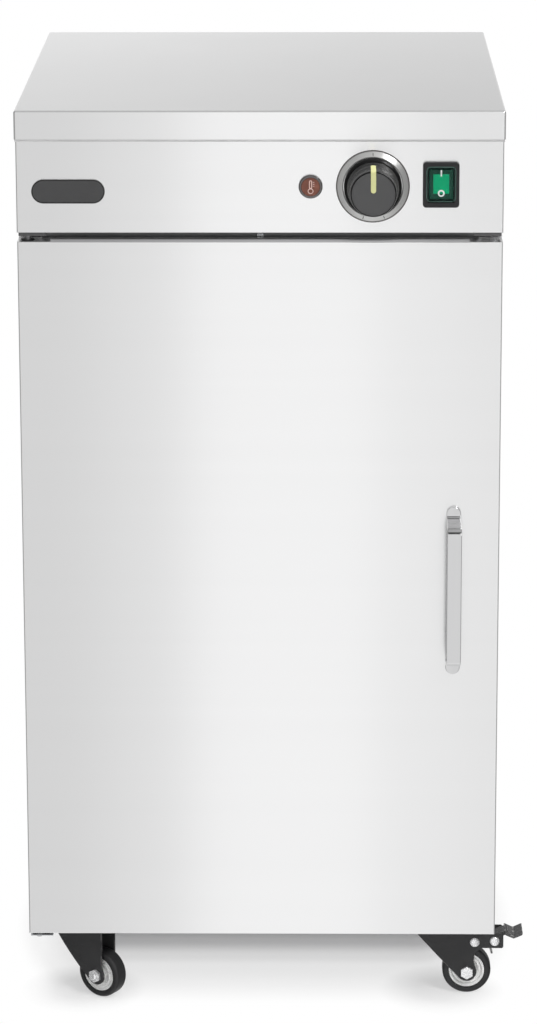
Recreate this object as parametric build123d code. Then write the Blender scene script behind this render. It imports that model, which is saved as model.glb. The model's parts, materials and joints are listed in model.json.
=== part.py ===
from build123d import *
from math import atan2, tan
import os

# Plate warmer: an insulated heated cabinet on castors. Millimetres, +Z up, front towards -Y,
# origin on the floor under the middle of the lid.

# Outer sizes
LID_W = 440.0
LID_D = 460.0
TOTAL_H = 860.0
CASTOR_H = 74.0
LID_LIP = 26.0
LID_BEND = 2.0
PANEL_H = 85.5
PANEL_BEND = 1.2
DOOR_GAP = 8.0
DOOR_T = 20.0
DOOR_BEND = 1.2
SEAL_GAP = 4.5

# Sheets and insulation
SHEET = 1.0
BASE_SHEET = 1.5
LINER_SHEET = 0.8
SIDE_INS = 20.0
BACK_INS = 22.0
FLOOR_INS = 25.5
TOP_INS = 30.0
REAR_FLANGE = 15.0

# Clearances
LID_GAP = 0.25
DOOR_SIDE_GAP = 0.25
DOOR_BASE_GAP = 2.0
PRESS_GAP = 0.02
RUN_GAP = 0.05
FREE_GAP = 0.3

# Door fittings
PIVOT_FROM_SIDE = 9.0
PIVOT_FROM_FRONT = 8.0
PIN_R = 3.0
PIN_REACH = 11.0
COLLAR_R = 5.0
COLLAR_H = 1.0
BUSH_R = 4.5
BUSH_FLANGE_R = 6.0
BUSH_FLANGE_H = 0.9
BUSH_L = 14.0
HINGE_T = 3.0
HINGE_INSET = 1.5
HINGE_W = 25.0
LOW_HINGE_W = 21.0
LOW_HINGE_SEAT = 35.0
HINGE_SCREW_EDGE = 5.5
INNER_FLANGE = 5.0
GASKET_INSET = 11.5
GASKET_W = 8.0
VENT_R = 2.5
VENT_FROM_SIDE = 50.0
VENT_FROM_FRONT = 6.0
MAGNET_W = 7.0
MAGNET_L = 44.0
MAGNET_T = 3.8
MAGNET_FROM_SIDE = 6.0

# Handle: a flat strip bent away from the door
HANDLE_L = 160.0
HANDLE_W = 13.2
HANDLE_T = 3.5
HANDLE_EDGE = 0.8
HANDLE_REACH = 30.0
HANDLE_FOOT = 15.0
HANDLE_RAMP = 9.0
HANDLE_BEND = 6.0
HANDLE_FROM_SIDE = 42.0
HANDLE_RISE = 5.5
HANDLE_SCREW_IN = 8.0
HANDLE_SCREW_GRIP = 2.5

# Screws
SCREW_R = 1.6
SCREW_HEAD_R = 3.4
SCREW_HEAD_H = 1.8
BACK_SCREWS = 4
BACK_SCREW_INSET = 9.0
PANEL_SCREW_FROM_FRONT = 12.0
PANEL_SCREW_L = 5.0

# Controls on the panel, measured from its right and left edges
KNOB_FROM_RIGHT = 117.3
LAMP_FROM_RIGHT = 173.1
SWITCH_FROM_RIGHT = 56.2
BADGE_FROM_LEFT = 46.8
SWITCH_RISE = 1.8
BADGE_DROP = 4.6
BADGE_L = 66.0
BADGE_W = 21.8
BADGE_T = 1.2
BADGE_EDGE = 0.4

RING_R = 33.1
RING_BORE_R = 26.6
RING_H = 3.0
RING_CHAMFER = 1.2
KNOB_SKIRT_R = 26.0
KNOB_SKIRT_H = 6.0
KNOB_NECK_R = 24.0
KNOB_FACE_R = 20.6
KNOB_H = 38.0
KNOB_LIFT = 1.0
KNOB_EDGE = 2.0
KNOB_HOLLOW_R = 21.0
KNOB_HOLLOW_H = 5.0
KNOB_HUB_R = 8.0
POINTER_W = 5.0
POINTER_T = 0.4
POINTER_TAIL = 1.0
SHAFT_R = 3.0
SHAFT_OUT = 28.0
SHAFT_IN = 28.0
THERMO_W = 46.0
THERMO_H = 48.0
THERMO_DEPTH = 38.0
THERMO_NECK_R = 5.0
THERMO_SCREW_X = 14.0
THERMO_SCREW_L = 9.0

LAMP_R = 10.8
LAMP_H = 3.0
LAMP_CHAMFER = 0.8
LAMP_BARREL_R = 7.8
LAMP_DEPTH = 24.0
LAMP_NUT_R = 10.5
LAMP_NUT_H = 4.0
LENS_R = 8.3
LENS_SEAT = 1.2
LENS_WALL = 1.9
LENS_CROWN = 1.2

SWITCH_W = 32.6
SWITCH_L = 41.4
SWITCH_OUT = 4.0
SWITCH_CORNER = 3.0
SWITCH_BODY_W = 27.0
SWITCH_BODY_L = 37.0
SWITCH_DEPTH = 30.0
SWITCH_WELL_W = 22.6
SWITCH_WELL_L = 29.2
SWITCH_WELL_FLOOR = -6.0
ROCKER_W = 21.4
ROCKER_L = 26.6
ROCKER_TIP = 4.2
ROCKER_DIP = 3.0
ROCKER_ROOT = -3.0
ROCKER_PIVOT = -2.0
ROCKER_TILT = 6.0
ROCKER_PIN_R = 1.5
ROCKER_PIN_L = 1.4
BOOT_W = 27.0
BOOT_L = 33.0
BOOT_T = 1.0
BOOT_OUT = 3.2
BOOT_CORNER = 4.0

# Chamber fittings
RUNNER_LEG = 14.0
RUNNER_T = 1.2
RUNNER_END = 12.0
SHELF_RISES = (228.0, 423.0)
SHELF_WIRE_R = 3.0
SHELF_CROSS_R = 2.6
SHELF_ROD_R = 2.0
SHELF_ROD_SINK = 0.5
SHELF_ROD_END = 3.5
SHELF_SIDE_GAP = 3.0
SHELF_END_GAP = 10.0
SHELF_CORNER = 16.0
SHELF_RODS = 13
COVER_RISE = 36.0
COVER_SIDE_GAP = 6.0
COVER_END_GAP = 8.0
SLOT_L = 60.0
SLOT_W = 7.0
SLOT_COLUMNS = 4
SLOT_ROWS = 9
ELEMENT_R = 4.2
ELEMENT_RISE = 14.0
ELEMENT_PITCH = 90.0
ELEMENT_BEND = 40.0
ELEMENT_FRONT_GAP = 55.0
ELEMENT_BACK_GAP = 85.0
ELEMENT_TAIL = 8.0
CLIP_W = 10.0
CLIP_L = 16.0
BULB_R = 3.0
BULB_L = 100.0
BULB_DROP = 12.0
BULB_FROM_BACK = 55.0
CAPILLARY_R = 1.0
CAPILLARY_DROP = 12.0
BULB_CLIP_T = 8.0
BULB_CLIP_W = 10.0
CUTOUT_R = 8.0
CUTOUT_H = 13.0
CUTOUT_FLANGE_R = 11.5
CUTOUT_FLANGE_H = 1.2
CUTOUT_POCKET_R = 13.0
CUTOUT_X = -60.0
CUTOUT_Y = 60.0

# Wiring and supply
WIRE_R = 1.5
WIRE_BEND = 4.0
WIRE_HOLE_R = 3.5
LOOM_SPACE = 25.0
FEED_TAB_X = 11.5
LOAD_TAB_X = 5.75
SWITCHED_RISE = 9.6
HEATER_DROP = 6.0
CUTOUT_DROP = 19.2
TERMINAL_W = 38.0
TERMINAL_D = 22.0
TERMINAL_H = 17.0
TERMINAL_WAYS = 3
TERMINAL_FROM_BACK = 60.0
TERMINAL_FUNNEL_R = 2.6
TERMINAL_FUNNEL_H = 7.0
WIRE_SPREAD = 6.0
CHANNEL_W = 8.0
CHANNEL_FROM_BACK = 9.0
GLAND_BORE_R = 4.25
GLAND_THREAD_R = 9.5
GLAND_INSIDE = 9.0
GLAND_HEX = 24.0
GLAND_HEX_L = 7.0
GLAND_CAP_R = 11.0
GLAND_CAP_L = 18.0
GLAND_NOSE_L = 8.0
GLAND_NOSE_R = 8.0
GLAND_NUT_L = 5.0
GLAND_RISE = 45.0
VENTS = 8
VENT_PITCH = 9.0
VENT_SLOT_L = 120.0
VENT_SLOT_W = 4.0
VENT_RISE = 24.0

# Castors
CASTOR_FROM_SIDE = 47.5
CASTOR_FROM_FRONT = 48.0
CASTOR_TRAIL = 22.9
CASTOR_TURNS = {"front_left": -33.0, "front_right": 0.0, "rear_left": 180.0, "rear_right": 140.0}
BRAKED = ("front_right", "rear_left")
WHEEL_R = 23.0
TYRE_W = 16.0
TYRE_EDGE = 3.5
RIM_R = 16.8
RIM_W = 13.0
RIM_DISH_R = 14.2
RIM_DISH = 3.0
HUB_R = 7.0
AXLE_R = 3.0
AXLE_HEX = 11.2
AXLE_HEAD_H = 4.0
AXLE_TAIL = 1.5
FORK_INNER = 19.0
FORK_T = 2.0
FORK_CROWN_T = 3.0
FORK_LEAD = 29.0
FORK_TAIL = 31.0
FORK_EAR_R = 10.5
STEM_COLLAR_R = 14.0
STEM_COLLAR_H = 4.0
STEM_THREAD_R = 5.0
STEM_REACH = 15.0
KINGPIN_R = 6.0
KINGPIN_HEAD_R = 9.0
KINGPIN_HEAD_H = 2.5
NUT_HEX = 17.0
NUT_H = 8.0
BRAKE_END = 57.5
BRAKE_BOTTOM = 47.0
BRAKE_TOP = 62.0
BRAKE_PIVOT = (49.1, 54.1)
BRAKE_STOP = (30.2, 53.0)
RIVET_R = 2.5
RIVET_HEAD_R = 4.7
RIVET_HEAD_H = 2.4
PEDAL_W = 24.0
PEDAL_T = 2.6
PEDAL_L = 17.0
PEDAL_GAP = 1.2
PEDAL_VALLEY = 4.0
PEDAL_LIFT = 6.4
PEDAL_HUB_R = 5.6
LEVER_W = 16.0
SHOE_W = 4.5
SHOE_L = 16.0

# Levels and planes that follow from the sizes above
BODY_W = LID_W - 2 * (SHEET + LID_GAP)
BODY_D = LID_D - 2 * (SHEET + LID_GAP)
SIDE_X = BODY_W / 2
FRONT_Y = -BODY_D / 2
BACK_Y = BODY_D / 2
FRAME_Y = FRONT_Y + DOOR_T + SEAL_GAP
BASE_TOP = CASTOR_H + BASE_SHEET
LID_UNDER = TOTAL_H - SHEET
PANEL_BOTTOM = TOTAL_H - LID_LIP - PANEL_H
PANEL_MID = PANEL_BOTTOM + PANEL_H / 2
DECK_TOP = PANEL_BOTTOM + SHEET
DOOR_TOP = PANEL_BOTTOM - DOOR_GAP
DOOR_BOTTOM = CASTOR_H + DOOR_BASE_GAP
DOOR_MID = (DOOR_TOP + DOOR_BOTTOM) / 2
DOOR_X = SIDE_X - DOOR_SIDE_GAP
DOOR_BACK = FRONT_Y + DOOR_T
LINER_X = SIDE_X - SHEET - SIDE_INS
CHAMBER_X = LINER_X - LINER_SHEET
LINER_BACK = BACK_Y - SHEET - BACK_INS
CHAMBER_BACK = LINER_BACK - LINER_SHEET
LINER_FLOOR = BASE_TOP + FLOOR_INS
CHAMBER_FLOOR = LINER_FLOOR + LINER_SHEET
LINER_TOP = PANEL_BOTTOM - TOP_INS
CHAMBER_TOP = LINER_TOP - LINER_SHEET
PIVOT_X = -DOOR_X + PIVOT_FROM_SIDE
PIVOT_Y = FRONT_Y + PIVOT_FROM_FRONT
HANDLE_X = DOOR_X - HANDLE_FROM_SIDE
HANDLE_Z = DOOR_MID + HANDLE_RISE
KNOB_X = SIDE_X - KNOB_FROM_RIGHT
LAMP_X = SIDE_X - LAMP_FROM_RIGHT
SWITCH_X = SIDE_X - SWITCH_FROM_RIGHT
SWITCH_Z = PANEL_MID + SWITCH_RISE
BADGE_X = -SIDE_X + BADGE_FROM_LEFT
ELEMENT_Z = CHAMBER_FLOOR + ELEMENT_RISE
ELEMENT_INNER_X = ELEMENT_PITCH / 2
ELEMENT_X = ELEMENT_INNER_X + ELEMENT_PITCH
ELEMENT_END = LINER_BACK + ELEMENT_TAIL
CHANNEL_Y = BACK_Y - CHANNEL_FROM_BACK
BULB_Y = CHAMBER_BACK - BULB_FROM_BACK
BULB_Z = CHAMBER_TOP - BULB_DROP
CAPILLARY_X = KNOB_X - THERMO_W / 2 + WIRE_SPREAD
TERMINAL_Y = BACK_Y - TERMINAL_FROM_BACK
GLAND_Z = DECK_TOP + GLAND_RISE
CROWN_TOP = CASTOR_H - STEM_COLLAR_H - FREE_GAP
CROWN_BOTTOM = CROWN_TOP - FORK_CROWN_T


def block(x_span, y_span, z_span):
    """Box between two limits on each axis."""
    spans = (x_span, y_span, z_span)
    middle = [(low + high) / 2 for low, high in spans]
    return Pos(*middle) * Box(*[high - low for low, high in spans])


def rod(start, direction, radius, length):
    """Round bar from a start point along a direction."""
    seat = Plane(origin=start, z_dir=direction)
    return seat * Cylinder(radius, length, align=(Align.CENTER, Align.CENTER, Align.MIN))


def hexagon(start, direction, across_flats, length):
    """Six-sided bar from a start point along a direction."""
    face = RegularPolygon(across_flats / 2, 6, major_radius=False)
    return Plane(origin=start, z_dir=direction) * extrude(face, length)


def turned(points):
    """Solid of revolution about Z from (radius, height) points."""
    return revolve(Plane.XZ * make_face(Polyline(*points, close=True)), Axis.Z)


def dome_radius(radius, height):
    """Radius of the sphere whose cap has a base radius and a height."""
    return (radius**2 + height**2) / (2 * height)


def upright(face, thickness):
    """Plate whose drawing plane is XZ, centred on Y."""
    return Pos(0, thickness / 2, 0) * Rot(90, 0, 0) * extrude(face, thickness)


def tube(points, radius, bend):
    """Round tube along straight runs joined by tangent arcs."""
    path = FilletPolyline(*points, radius=bend)
    return sweep(Plane(origin=path @ 0, z_dir=path % 0) * Circle(radius), path=path)


def on_panel(piece, x, z):
    """Sets a piece drawn in X right, Y up, Z outwards on the control panel's front."""
    return Pos(x, FRONT_Y, z) * Rot(90, 0, 0) * piece


def screw(point, direction, grip):
    """Pan-head screw with its head's underside at a point and its shank along a direction."""
    head = rod(point, [-part for part in direction], SCREW_HEAD_R, SCREW_HEAD_H)
    return rod(point, direction, SCREW_R, grip) + head


def screw_hole(point, direction, grip):
    """Clearance for the shank of a screw."""
    return rod(point, direction, SCREW_R + RUN_GAP, grip)


def mirrored(piece):
    """The piece on the other side of the cabinet."""
    return mirror(piece, Plane.YZ)


# Places of the cabinet's screws: where the head seats, and the way the shank goes
def top_hinge_seats():
    """Four screws up into the control panel, two at each end of the gap."""
    y = FRAME_Y - HINGE_SCREW_EDGE
    outer = SIDE_X - HINGE_INSET - HINGE_SCREW_EDGE
    inner = SIDE_X - HINGE_INSET - HINGE_W + HINGE_SCREW_EDGE
    return [(x, y, PANEL_BOTTOM - HINGE_T) for x in (-outer, -inner, inner, outer)]


def low_hinge_seats():
    """Two screws up into the base pan."""
    first = FRAME_Y + 2 * HINGE_SCREW_EDGE
    last = FRAME_Y + LOW_HINGE_SEAT - HINGE_SCREW_EDGE
    return [(PIVOT_X, y, CASTOR_H - HINGE_T) for y in (first, last)]


def back_seats():
    """Screws down both edges of the back panel."""
    x = SIDE_X - BACK_SCREW_INSET
    low = BASE_TOP + BACK_SCREW_INSET
    step = (LID_UNDER - LID_LIP - BACK_SCREW_INSET - low) / (BACK_SCREWS - 1)
    return [(side * x, BACK_Y, low + row * step) for side in (-1, 1) for row in range(BACK_SCREWS)]


def panel_seat():
    """Screw in the middle of the control panel's lower fold."""
    return (0, FRONT_Y + PANEL_SCREW_FROM_FRONT, PANEL_BOTTOM)


def thermostat_seats():
    """Two screws through the panel into the thermostat, behind the knob's skirt."""
    return [(KNOB_X + side * THERMO_SCREW_X, FRONT_Y, PANEL_MID) for side in (-1, 1)]


def castor_places():
    """Swivel axes: front left, front right, rear left, rear right."""
    x = SIDE_X - CASTOR_FROM_SIDE
    y = BODY_D / 2 - CASTOR_FROM_FRONT
    return {
        "front_left": (-x, -y),
        "front_right": (x, -y),
        "rear_left": (-x, y),
        "rear_right": (x, y),
    }


# Cabinet sheets
def top_lid():
    outer = block((-LID_W / 2, LID_W / 2), (-LID_D / 2, LID_D / 2), (TOTAL_H - LID_LIP, TOTAL_H))
    corners = outer.edges().filter_by(Axis.Z)
    outer = fillet(corners + outer.faces().sort_by(Axis.Z)[-1].edges(), LID_BEND)
    inside_x = LID_W / 2 - SHEET
    inside_y = LID_D / 2 - SHEET
    return outer - block((-inside_x, inside_x), (-inside_y, inside_y), (TOTAL_H - LID_LIP, LID_UNDER))


def side_panel_right():
    height = (BASE_TOP, LID_UNDER)
    wall = block((SIDE_X - SHEET, SIDE_X), (FRAME_Y, BACK_Y - SHEET), height)
    front = block((LINER_X, SIDE_X), (FRAME_Y, FRAME_Y + SHEET), height)
    rear = block((SIDE_X - REAR_FLANGE, SIDE_X), (BACK_Y - 2 * SHEET, BACK_Y - SHEET), height)
    panel = wall + front + rear
    for seat in back_seats():
        panel -= screw_hole(seat, (0, -1, 0), 2 * SHEET)
    return panel


def back_panel():
    panel = block((-SIDE_X, SIDE_X), (BACK_Y - SHEET, BACK_Y), (BASE_TOP, LID_UNDER))
    for seat in back_seats():
        panel -= screw_hole(seat, (0, -1, 0), SHEET)
    for row in range(VENTS):
        slot = extrude(SlotOverall(VENT_SLOT_L, VENT_SLOT_W), 2 * SHEET, both=True)
        panel -= Pos(0, BACK_Y, DECK_TOP + VENT_RISE + row * VENT_PITCH) * Rot(90, 0, 0) * slot
    return panel - rod((SWITCH_X, BACK_Y - SHEET, GLAND_Z), (0, 1, 0), GLAND_THREAD_R + PRESS_GAP, SHEET)


def base_pan():
    floor = block((-SIDE_X, SIDE_X), (FRAME_Y, BACK_Y), (CASTOR_H, BASE_TOP))
    sill = block((-LINER_X, LINER_X), (FRAME_Y, FRAME_Y + SHEET), (BASE_TOP, LINER_FLOOR))
    pan = floor + sill
    for x, y in castor_places().values():
        pan -= rod((x, y, CASTOR_H), (0, 0, 1), STEM_THREAD_R + PRESS_GAP, BASE_SHEET)
    for seat in low_hinge_seats():
        pan -= screw_hole(seat, (0, 0, 1), HINGE_T + BASE_SHEET)
    return pan


def control_panel():
    outer = block((-SIDE_X, SIDE_X), (FRONT_Y, FRAME_Y), (PANEL_BOTTOM, LID_UNDER))
    front = outer.faces().sort_by(Axis.Y)[0]
    outer = fillet(front.edges(), PANEL_BEND)
    inside_x = SIDE_X - SHEET
    panel = outer - block(
        (-inside_x, inside_x), (FRONT_Y + SHEET, FRAME_Y), (PANEL_BOTTOM + SHEET, LID_UNDER - SHEET)
    )
    deep = 3 * SHEET
    panel -= rod((KNOB_X, FRONT_Y - SHEET, PANEL_MID), (0, 1, 0), THERMO_NECK_R + PRESS_GAP, deep)
    panel -= rod((LAMP_X, FRONT_Y - SHEET, PANEL_MID), (0, 1, 0), LAMP_BARREL_R + PRESS_GAP, deep)
    switch = Box(SWITCH_BODY_W, SWITCH_BODY_L, deep)
    panel -= on_panel(switch, SWITCH_X, SWITCH_Z)
    for seat in thermostat_seats():
        panel -= screw_hole(seat, (0, 1, 0), SHEET)
    for seat in top_hinge_seats():
        panel -= screw_hole(seat, (0, 0, 1), HINGE_T + SHEET)
    return panel - screw_hole(panel_seat(), (0, 0, 1), SHEET)


def electrics_deck():
    deck_x = SIDE_X - SHEET
    deck = block((-deck_x, deck_x), (FRAME_Y + SHEET, BACK_Y - 2 * SHEET), (PANEL_BOTTOM, DECK_TOP))
    rail = block((-LINER_X, LINER_X), (FRAME_Y, FRAME_Y + SHEET), (LINER_TOP, DECK_TOP))
    deck += rail
    for x, y in wire_holes():
        deck -= rod((x, y, PANEL_BOTTOM), (0, 0, 1), WIRE_HOLE_R, SHEET)
    return deck


def wire_holes():
    return [(-ELEMENT_X, CHANNEL_Y), (ELEMENT_X, CHANNEL_Y), (CAPILLARY_X, BULB_Y), (CUTOUT_X, CUTOUT_Y)]


def inner_liner():
    height = (LINER_FLOOR, LINER_TOP)
    depth = (FRAME_Y, CHAMBER_BACK)
    wall = block((CHAMBER_X, LINER_X), (FRAME_Y, LINER_BACK), height)
    back = block((-CHAMBER_X, CHAMBER_X), (CHAMBER_BACK, LINER_BACK), height)
    for side in (-1, 1):
        back -= rod((side * ELEMENT_X, CHAMBER_BACK, ELEMENT_Z), (0, 1, 0), ELEMENT_R + FREE_GAP, LINER_SHEET)
    floor = block((-CHAMBER_X, CHAMBER_X), depth, (LINER_FLOOR, CHAMBER_FLOOR))
    ceiling = block((-CHAMBER_X, CHAMBER_X), depth, (CHAMBER_TOP, LINER_TOP))
    ceiling -= rod((CAPILLARY_X, BULB_Y, CHAMBER_TOP), (0, 0, 1), CAPILLARY_R + FREE_GAP, LINER_SHEET)
    return Compound([mirrored(wall), wall, back, floor, ceiling])


def insulation_slabs():
    depth = (FRAME_Y + SHEET, LINER_BACK)
    wide = (-LINER_X, LINER_X)
    side = block((LINER_X, SIDE_X - SHEET), (FRAME_Y + SHEET, BACK_Y - 2 * SHEET), (BASE_TOP, PANEL_BOTTOM))
    back = block(wide, (LINER_BACK, BACK_Y - SHEET), (BASE_TOP, PANEL_BOTTOM))
    for end in (-ELEMENT_X, ELEMENT_X):
        channel = (end - CHANNEL_W / 2, end + CHANNEL_W / 2)
        back -= block(channel, (LINER_BACK, BACK_Y - SHEET), (ELEMENT_Z - CHANNEL_W, PANEL_BOTTOM))
        back -= rod((end, LINER_BACK, ELEMENT_Z), (0, 1, 0), ELEMENT_R + FREE_GAP, BACK_INS)
    bottom = block(wide, depth, (BASE_TOP, LINER_FLOOR))
    for x, y in castor_places().values():
        bottom -= rod((x, y, BASE_TOP), (0, 0, 1), NUT_HEX, FLOOR_INS)
    top = block(wide, depth, (LINER_TOP, PANEL_BOTTOM))
    top -= rod((CAPILLARY_X, BULB_Y, LINER_TOP), (0, 0, 1), WIRE_HOLE_R, TOP_INS)
    top -= rod((CUTOUT_X, CUTOUT_Y, LINER_TOP), (0, 0, 1), CUTOUT_POCKET_R, TOP_INS)
    return Compound([mirrored(side), side, back, bottom, top])


# Chamber fittings
def shelf_levels():
    return [CHAMBER_FLOOR + rise for rise in SHELF_RISES]


def shelf_runners():
    runners = []
    for level in shelf_levels():
        depth = (FRAME_Y + RUNNER_END, CHAMBER_BACK - RUNNER_END)
        ledge = block((CHAMBER_X - RUNNER_LEG, CHAMBER_X), depth, (level - RUNNER_T, level))
        leg = block((CHAMBER_X - RUNNER_T, CHAMBER_X), depth, (level - RUNNER_LEG, level))
        runner = ledge + leg
        runners += [runner, mirrored(runner)]
    return Compound(runners)


def wire_shelf(level):
    half_w = CHAMBER_X - SHELF_SIDE_GAP - SHELF_WIRE_R
    front = FRAME_Y + SHELF_END_GAP + SHELF_WIRE_R
    back = CHAMBER_BACK - SHELF_END_GAP - SHELF_WIRE_R
    middle = (front + back) / 2
    ring_z = level + SHELF_WIRE_R + RUN_GAP
    outline = Pos(0, middle, ring_z) * RectangleRounded(2 * half_w, back - front, SHELF_CORNER)
    path = outline.wire()
    shelf = sweep(Plane(origin=path @ 0, z_dir=path % 0) * Circle(SHELF_WIRE_R), path=path)
    shelf += rod((-half_w, middle, ring_z), (1, 0, 0), SHELF_CROSS_R, 2 * half_w)
    rod_z = ring_z + SHELF_CROSS_R + SHELF_ROD_R - SHELF_ROD_SINK
    step = 2 * half_w / (SHELF_RODS + 1)
    for index in range(SHELF_RODS):
        start = (-half_w + (index + 1) * step, front - SHELF_ROD_END, rod_z)
        shelf += rod(start, (0, 1, 0), SHELF_ROD_R, back - front + 2 * SHELF_ROD_END)
    return shelf


def element_cover():
    half_w = CHAMBER_X - COVER_SIDE_GAP
    depth = (FRAME_Y + COVER_END_GAP, CHAMBER_BACK - COVER_END_GAP)
    top = CHAMBER_FLOOR + COVER_RISE
    cover = block((-half_w, half_w), depth, (top - SHEET, top))
    leg = block((half_w - SHEET, half_w), depth, (CHAMBER_FLOOR, top))
    cover += leg + mirrored(leg)
    slot = extrude(SlotOverall(SLOT_L, SLOT_W), 2 * SHEET, both=True)
    step_x = 2 * half_w / SLOT_COLUMNS
    step_y = (depth[1] - depth[0]) / SLOT_ROWS
    for column in range(SLOT_COLUMNS):
        for row in range(SLOT_ROWS):
            x = -half_w + (column + 0.5) * step_x
            y = depth[0] + (row + 0.5) * step_y
            cover -= Pos(x, y, top) * slot
    return cover


def element_turns():
    """Depths of the element's front and back bends."""
    return FRAME_Y + ELEMENT_FRONT_GAP, CHAMBER_BACK - ELEMENT_BACK_GAP


def heating_element():
    front, back = element_turns()
    corners = [
        (-ELEMENT_X, ELEMENT_END),
        (-ELEMENT_X, front),
        (-ELEMENT_INNER_X, front),
        (-ELEMENT_INNER_X, back),
        (ELEMENT_INNER_X, back),
        (ELEMENT_INNER_X, front),
        (ELEMENT_X, front),
        (ELEMENT_X, ELEMENT_END),
    ]
    return tube([(x, y, ELEMENT_Z) for x, y in corners], ELEMENT_R, ELEMENT_BEND)


def element_clips():
    middle = sum(element_turns()) / 2
    clips = []
    for x in (-ELEMENT_X, -ELEMENT_INNER_X, ELEMENT_INNER_X, ELEMENT_X):
        width = (x - CLIP_L / 2, x + CLIP_L / 2)
        post = block(width, (middle - CLIP_W / 2, middle + CLIP_W / 2), (CHAMBER_FLOOR, ELEMENT_Z))
        saddle = rod((x, middle - CLIP_W, ELEMENT_Z), (0, 1, 0), ELEMENT_R + RUN_GAP, 2 * CLIP_W)
        clips.append(post - saddle)
    return Compound(clips)


def thermostat_sensor():
    bulb = rod((CAPILLARY_X - WIRE_BEND - BULB_L - WIRE_SPREAD, BULB_Y, BULB_Z), (1, 0, 0), BULB_R, BULB_L)
    level = PANEL_MID - CAPILLARY_DROP
    route = [
        (CAPILLARY_X - WIRE_BEND - WIRE_SPREAD, BULB_Y, BULB_Z),
        (CAPILLARY_X, BULB_Y, BULB_Z),
        (CAPILLARY_X, BULB_Y, level),
        (CAPILLARY_X, thermostat_rear(), level),
    ]
    sensor = bulb + tube(route, CAPILLARY_R, WIRE_BEND)
    middle = CAPILLARY_X - WIRE_BEND - WIRE_SPREAD - BULB_L / 2
    clip = block(
        (middle - BULB_CLIP_W / 2, middle + BULB_CLIP_W / 2),
        (BULB_Y - BULB_CLIP_T / 2, BULB_Y + BULB_CLIP_T / 2),
        (BULB_Z, CHAMBER_TOP),
    )
    clip -= rod((middle - BULB_CLIP_W, BULB_Y, BULB_Z), (1, 0, 0), BULB_R + RUN_GAP, 2 * BULB_CLIP_W)
    return Compound([sensor, clip])


def safety_cutout():
    outline = [
        (0, 0),
        (CUTOUT_FLANGE_R, 0),
        (CUTOUT_FLANGE_R, CUTOUT_FLANGE_H),
        (CUTOUT_R, CUTOUT_FLANGE_H),
        (CUTOUT_R, CUTOUT_H),
        (0, CUTOUT_H),
    ]
    return Pos(CUTOUT_X, CUTOUT_Y, LINER_TOP) * turned(outline)


# Electrics behind the panel
def thermostat_rear():
    return FRONT_Y + SHEET + THERMO_DEPTH


def thermostat_body():
    case = Pos(0, 0, -SHEET - THERMO_DEPTH / 2) * Box(THERMO_W, THERMO_H, THERMO_DEPTH)
    case += Pos(0, 0, -SHEET / 2) * Cylinder(THERMO_NECK_R, SHEET)
    case -= Pos(0, 0, -SHAFT_IN / 2) * Cylinder(SHAFT_R + RUN_GAP, SHAFT_IN)
    body = on_panel(case, KNOB_X, PANEL_MID)
    for seat in thermostat_seats():
        body -= screw_hole(seat, (0, 1, 0), THERMO_SCREW_L)
    return body


def thermostat_shaft():
    length = SHAFT_OUT + SHAFT_IN - FREE_GAP
    return rod((KNOB_X, FRONT_Y - SHAFT_OUT, PANEL_MID), (0, 1, 0), SHAFT_R, length)


def terminal_top():
    return DECK_TOP + TERMINAL_H


def terminal_block():
    width = (SWITCH_X - TERMINAL_W / 2, SWITCH_X + TERMINAL_W / 2)
    depth = (TERMINAL_Y - TERMINAL_D / 2, TERMINAL_Y + TERMINAL_D / 2)
    strip = block(width, depth, (DECK_TOP, terminal_top()))
    step = TERMINAL_W / TERMINAL_WAYS
    for way in range(TERMINAL_WAYS):
        x = width[0] + (way + 0.5) * step
        strip -= rod((x, TERMINAL_Y, terminal_top()), (0, 0, -1), TERMINAL_FUNNEL_R, TERMINAL_FUNNEL_H)
    return strip


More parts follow.
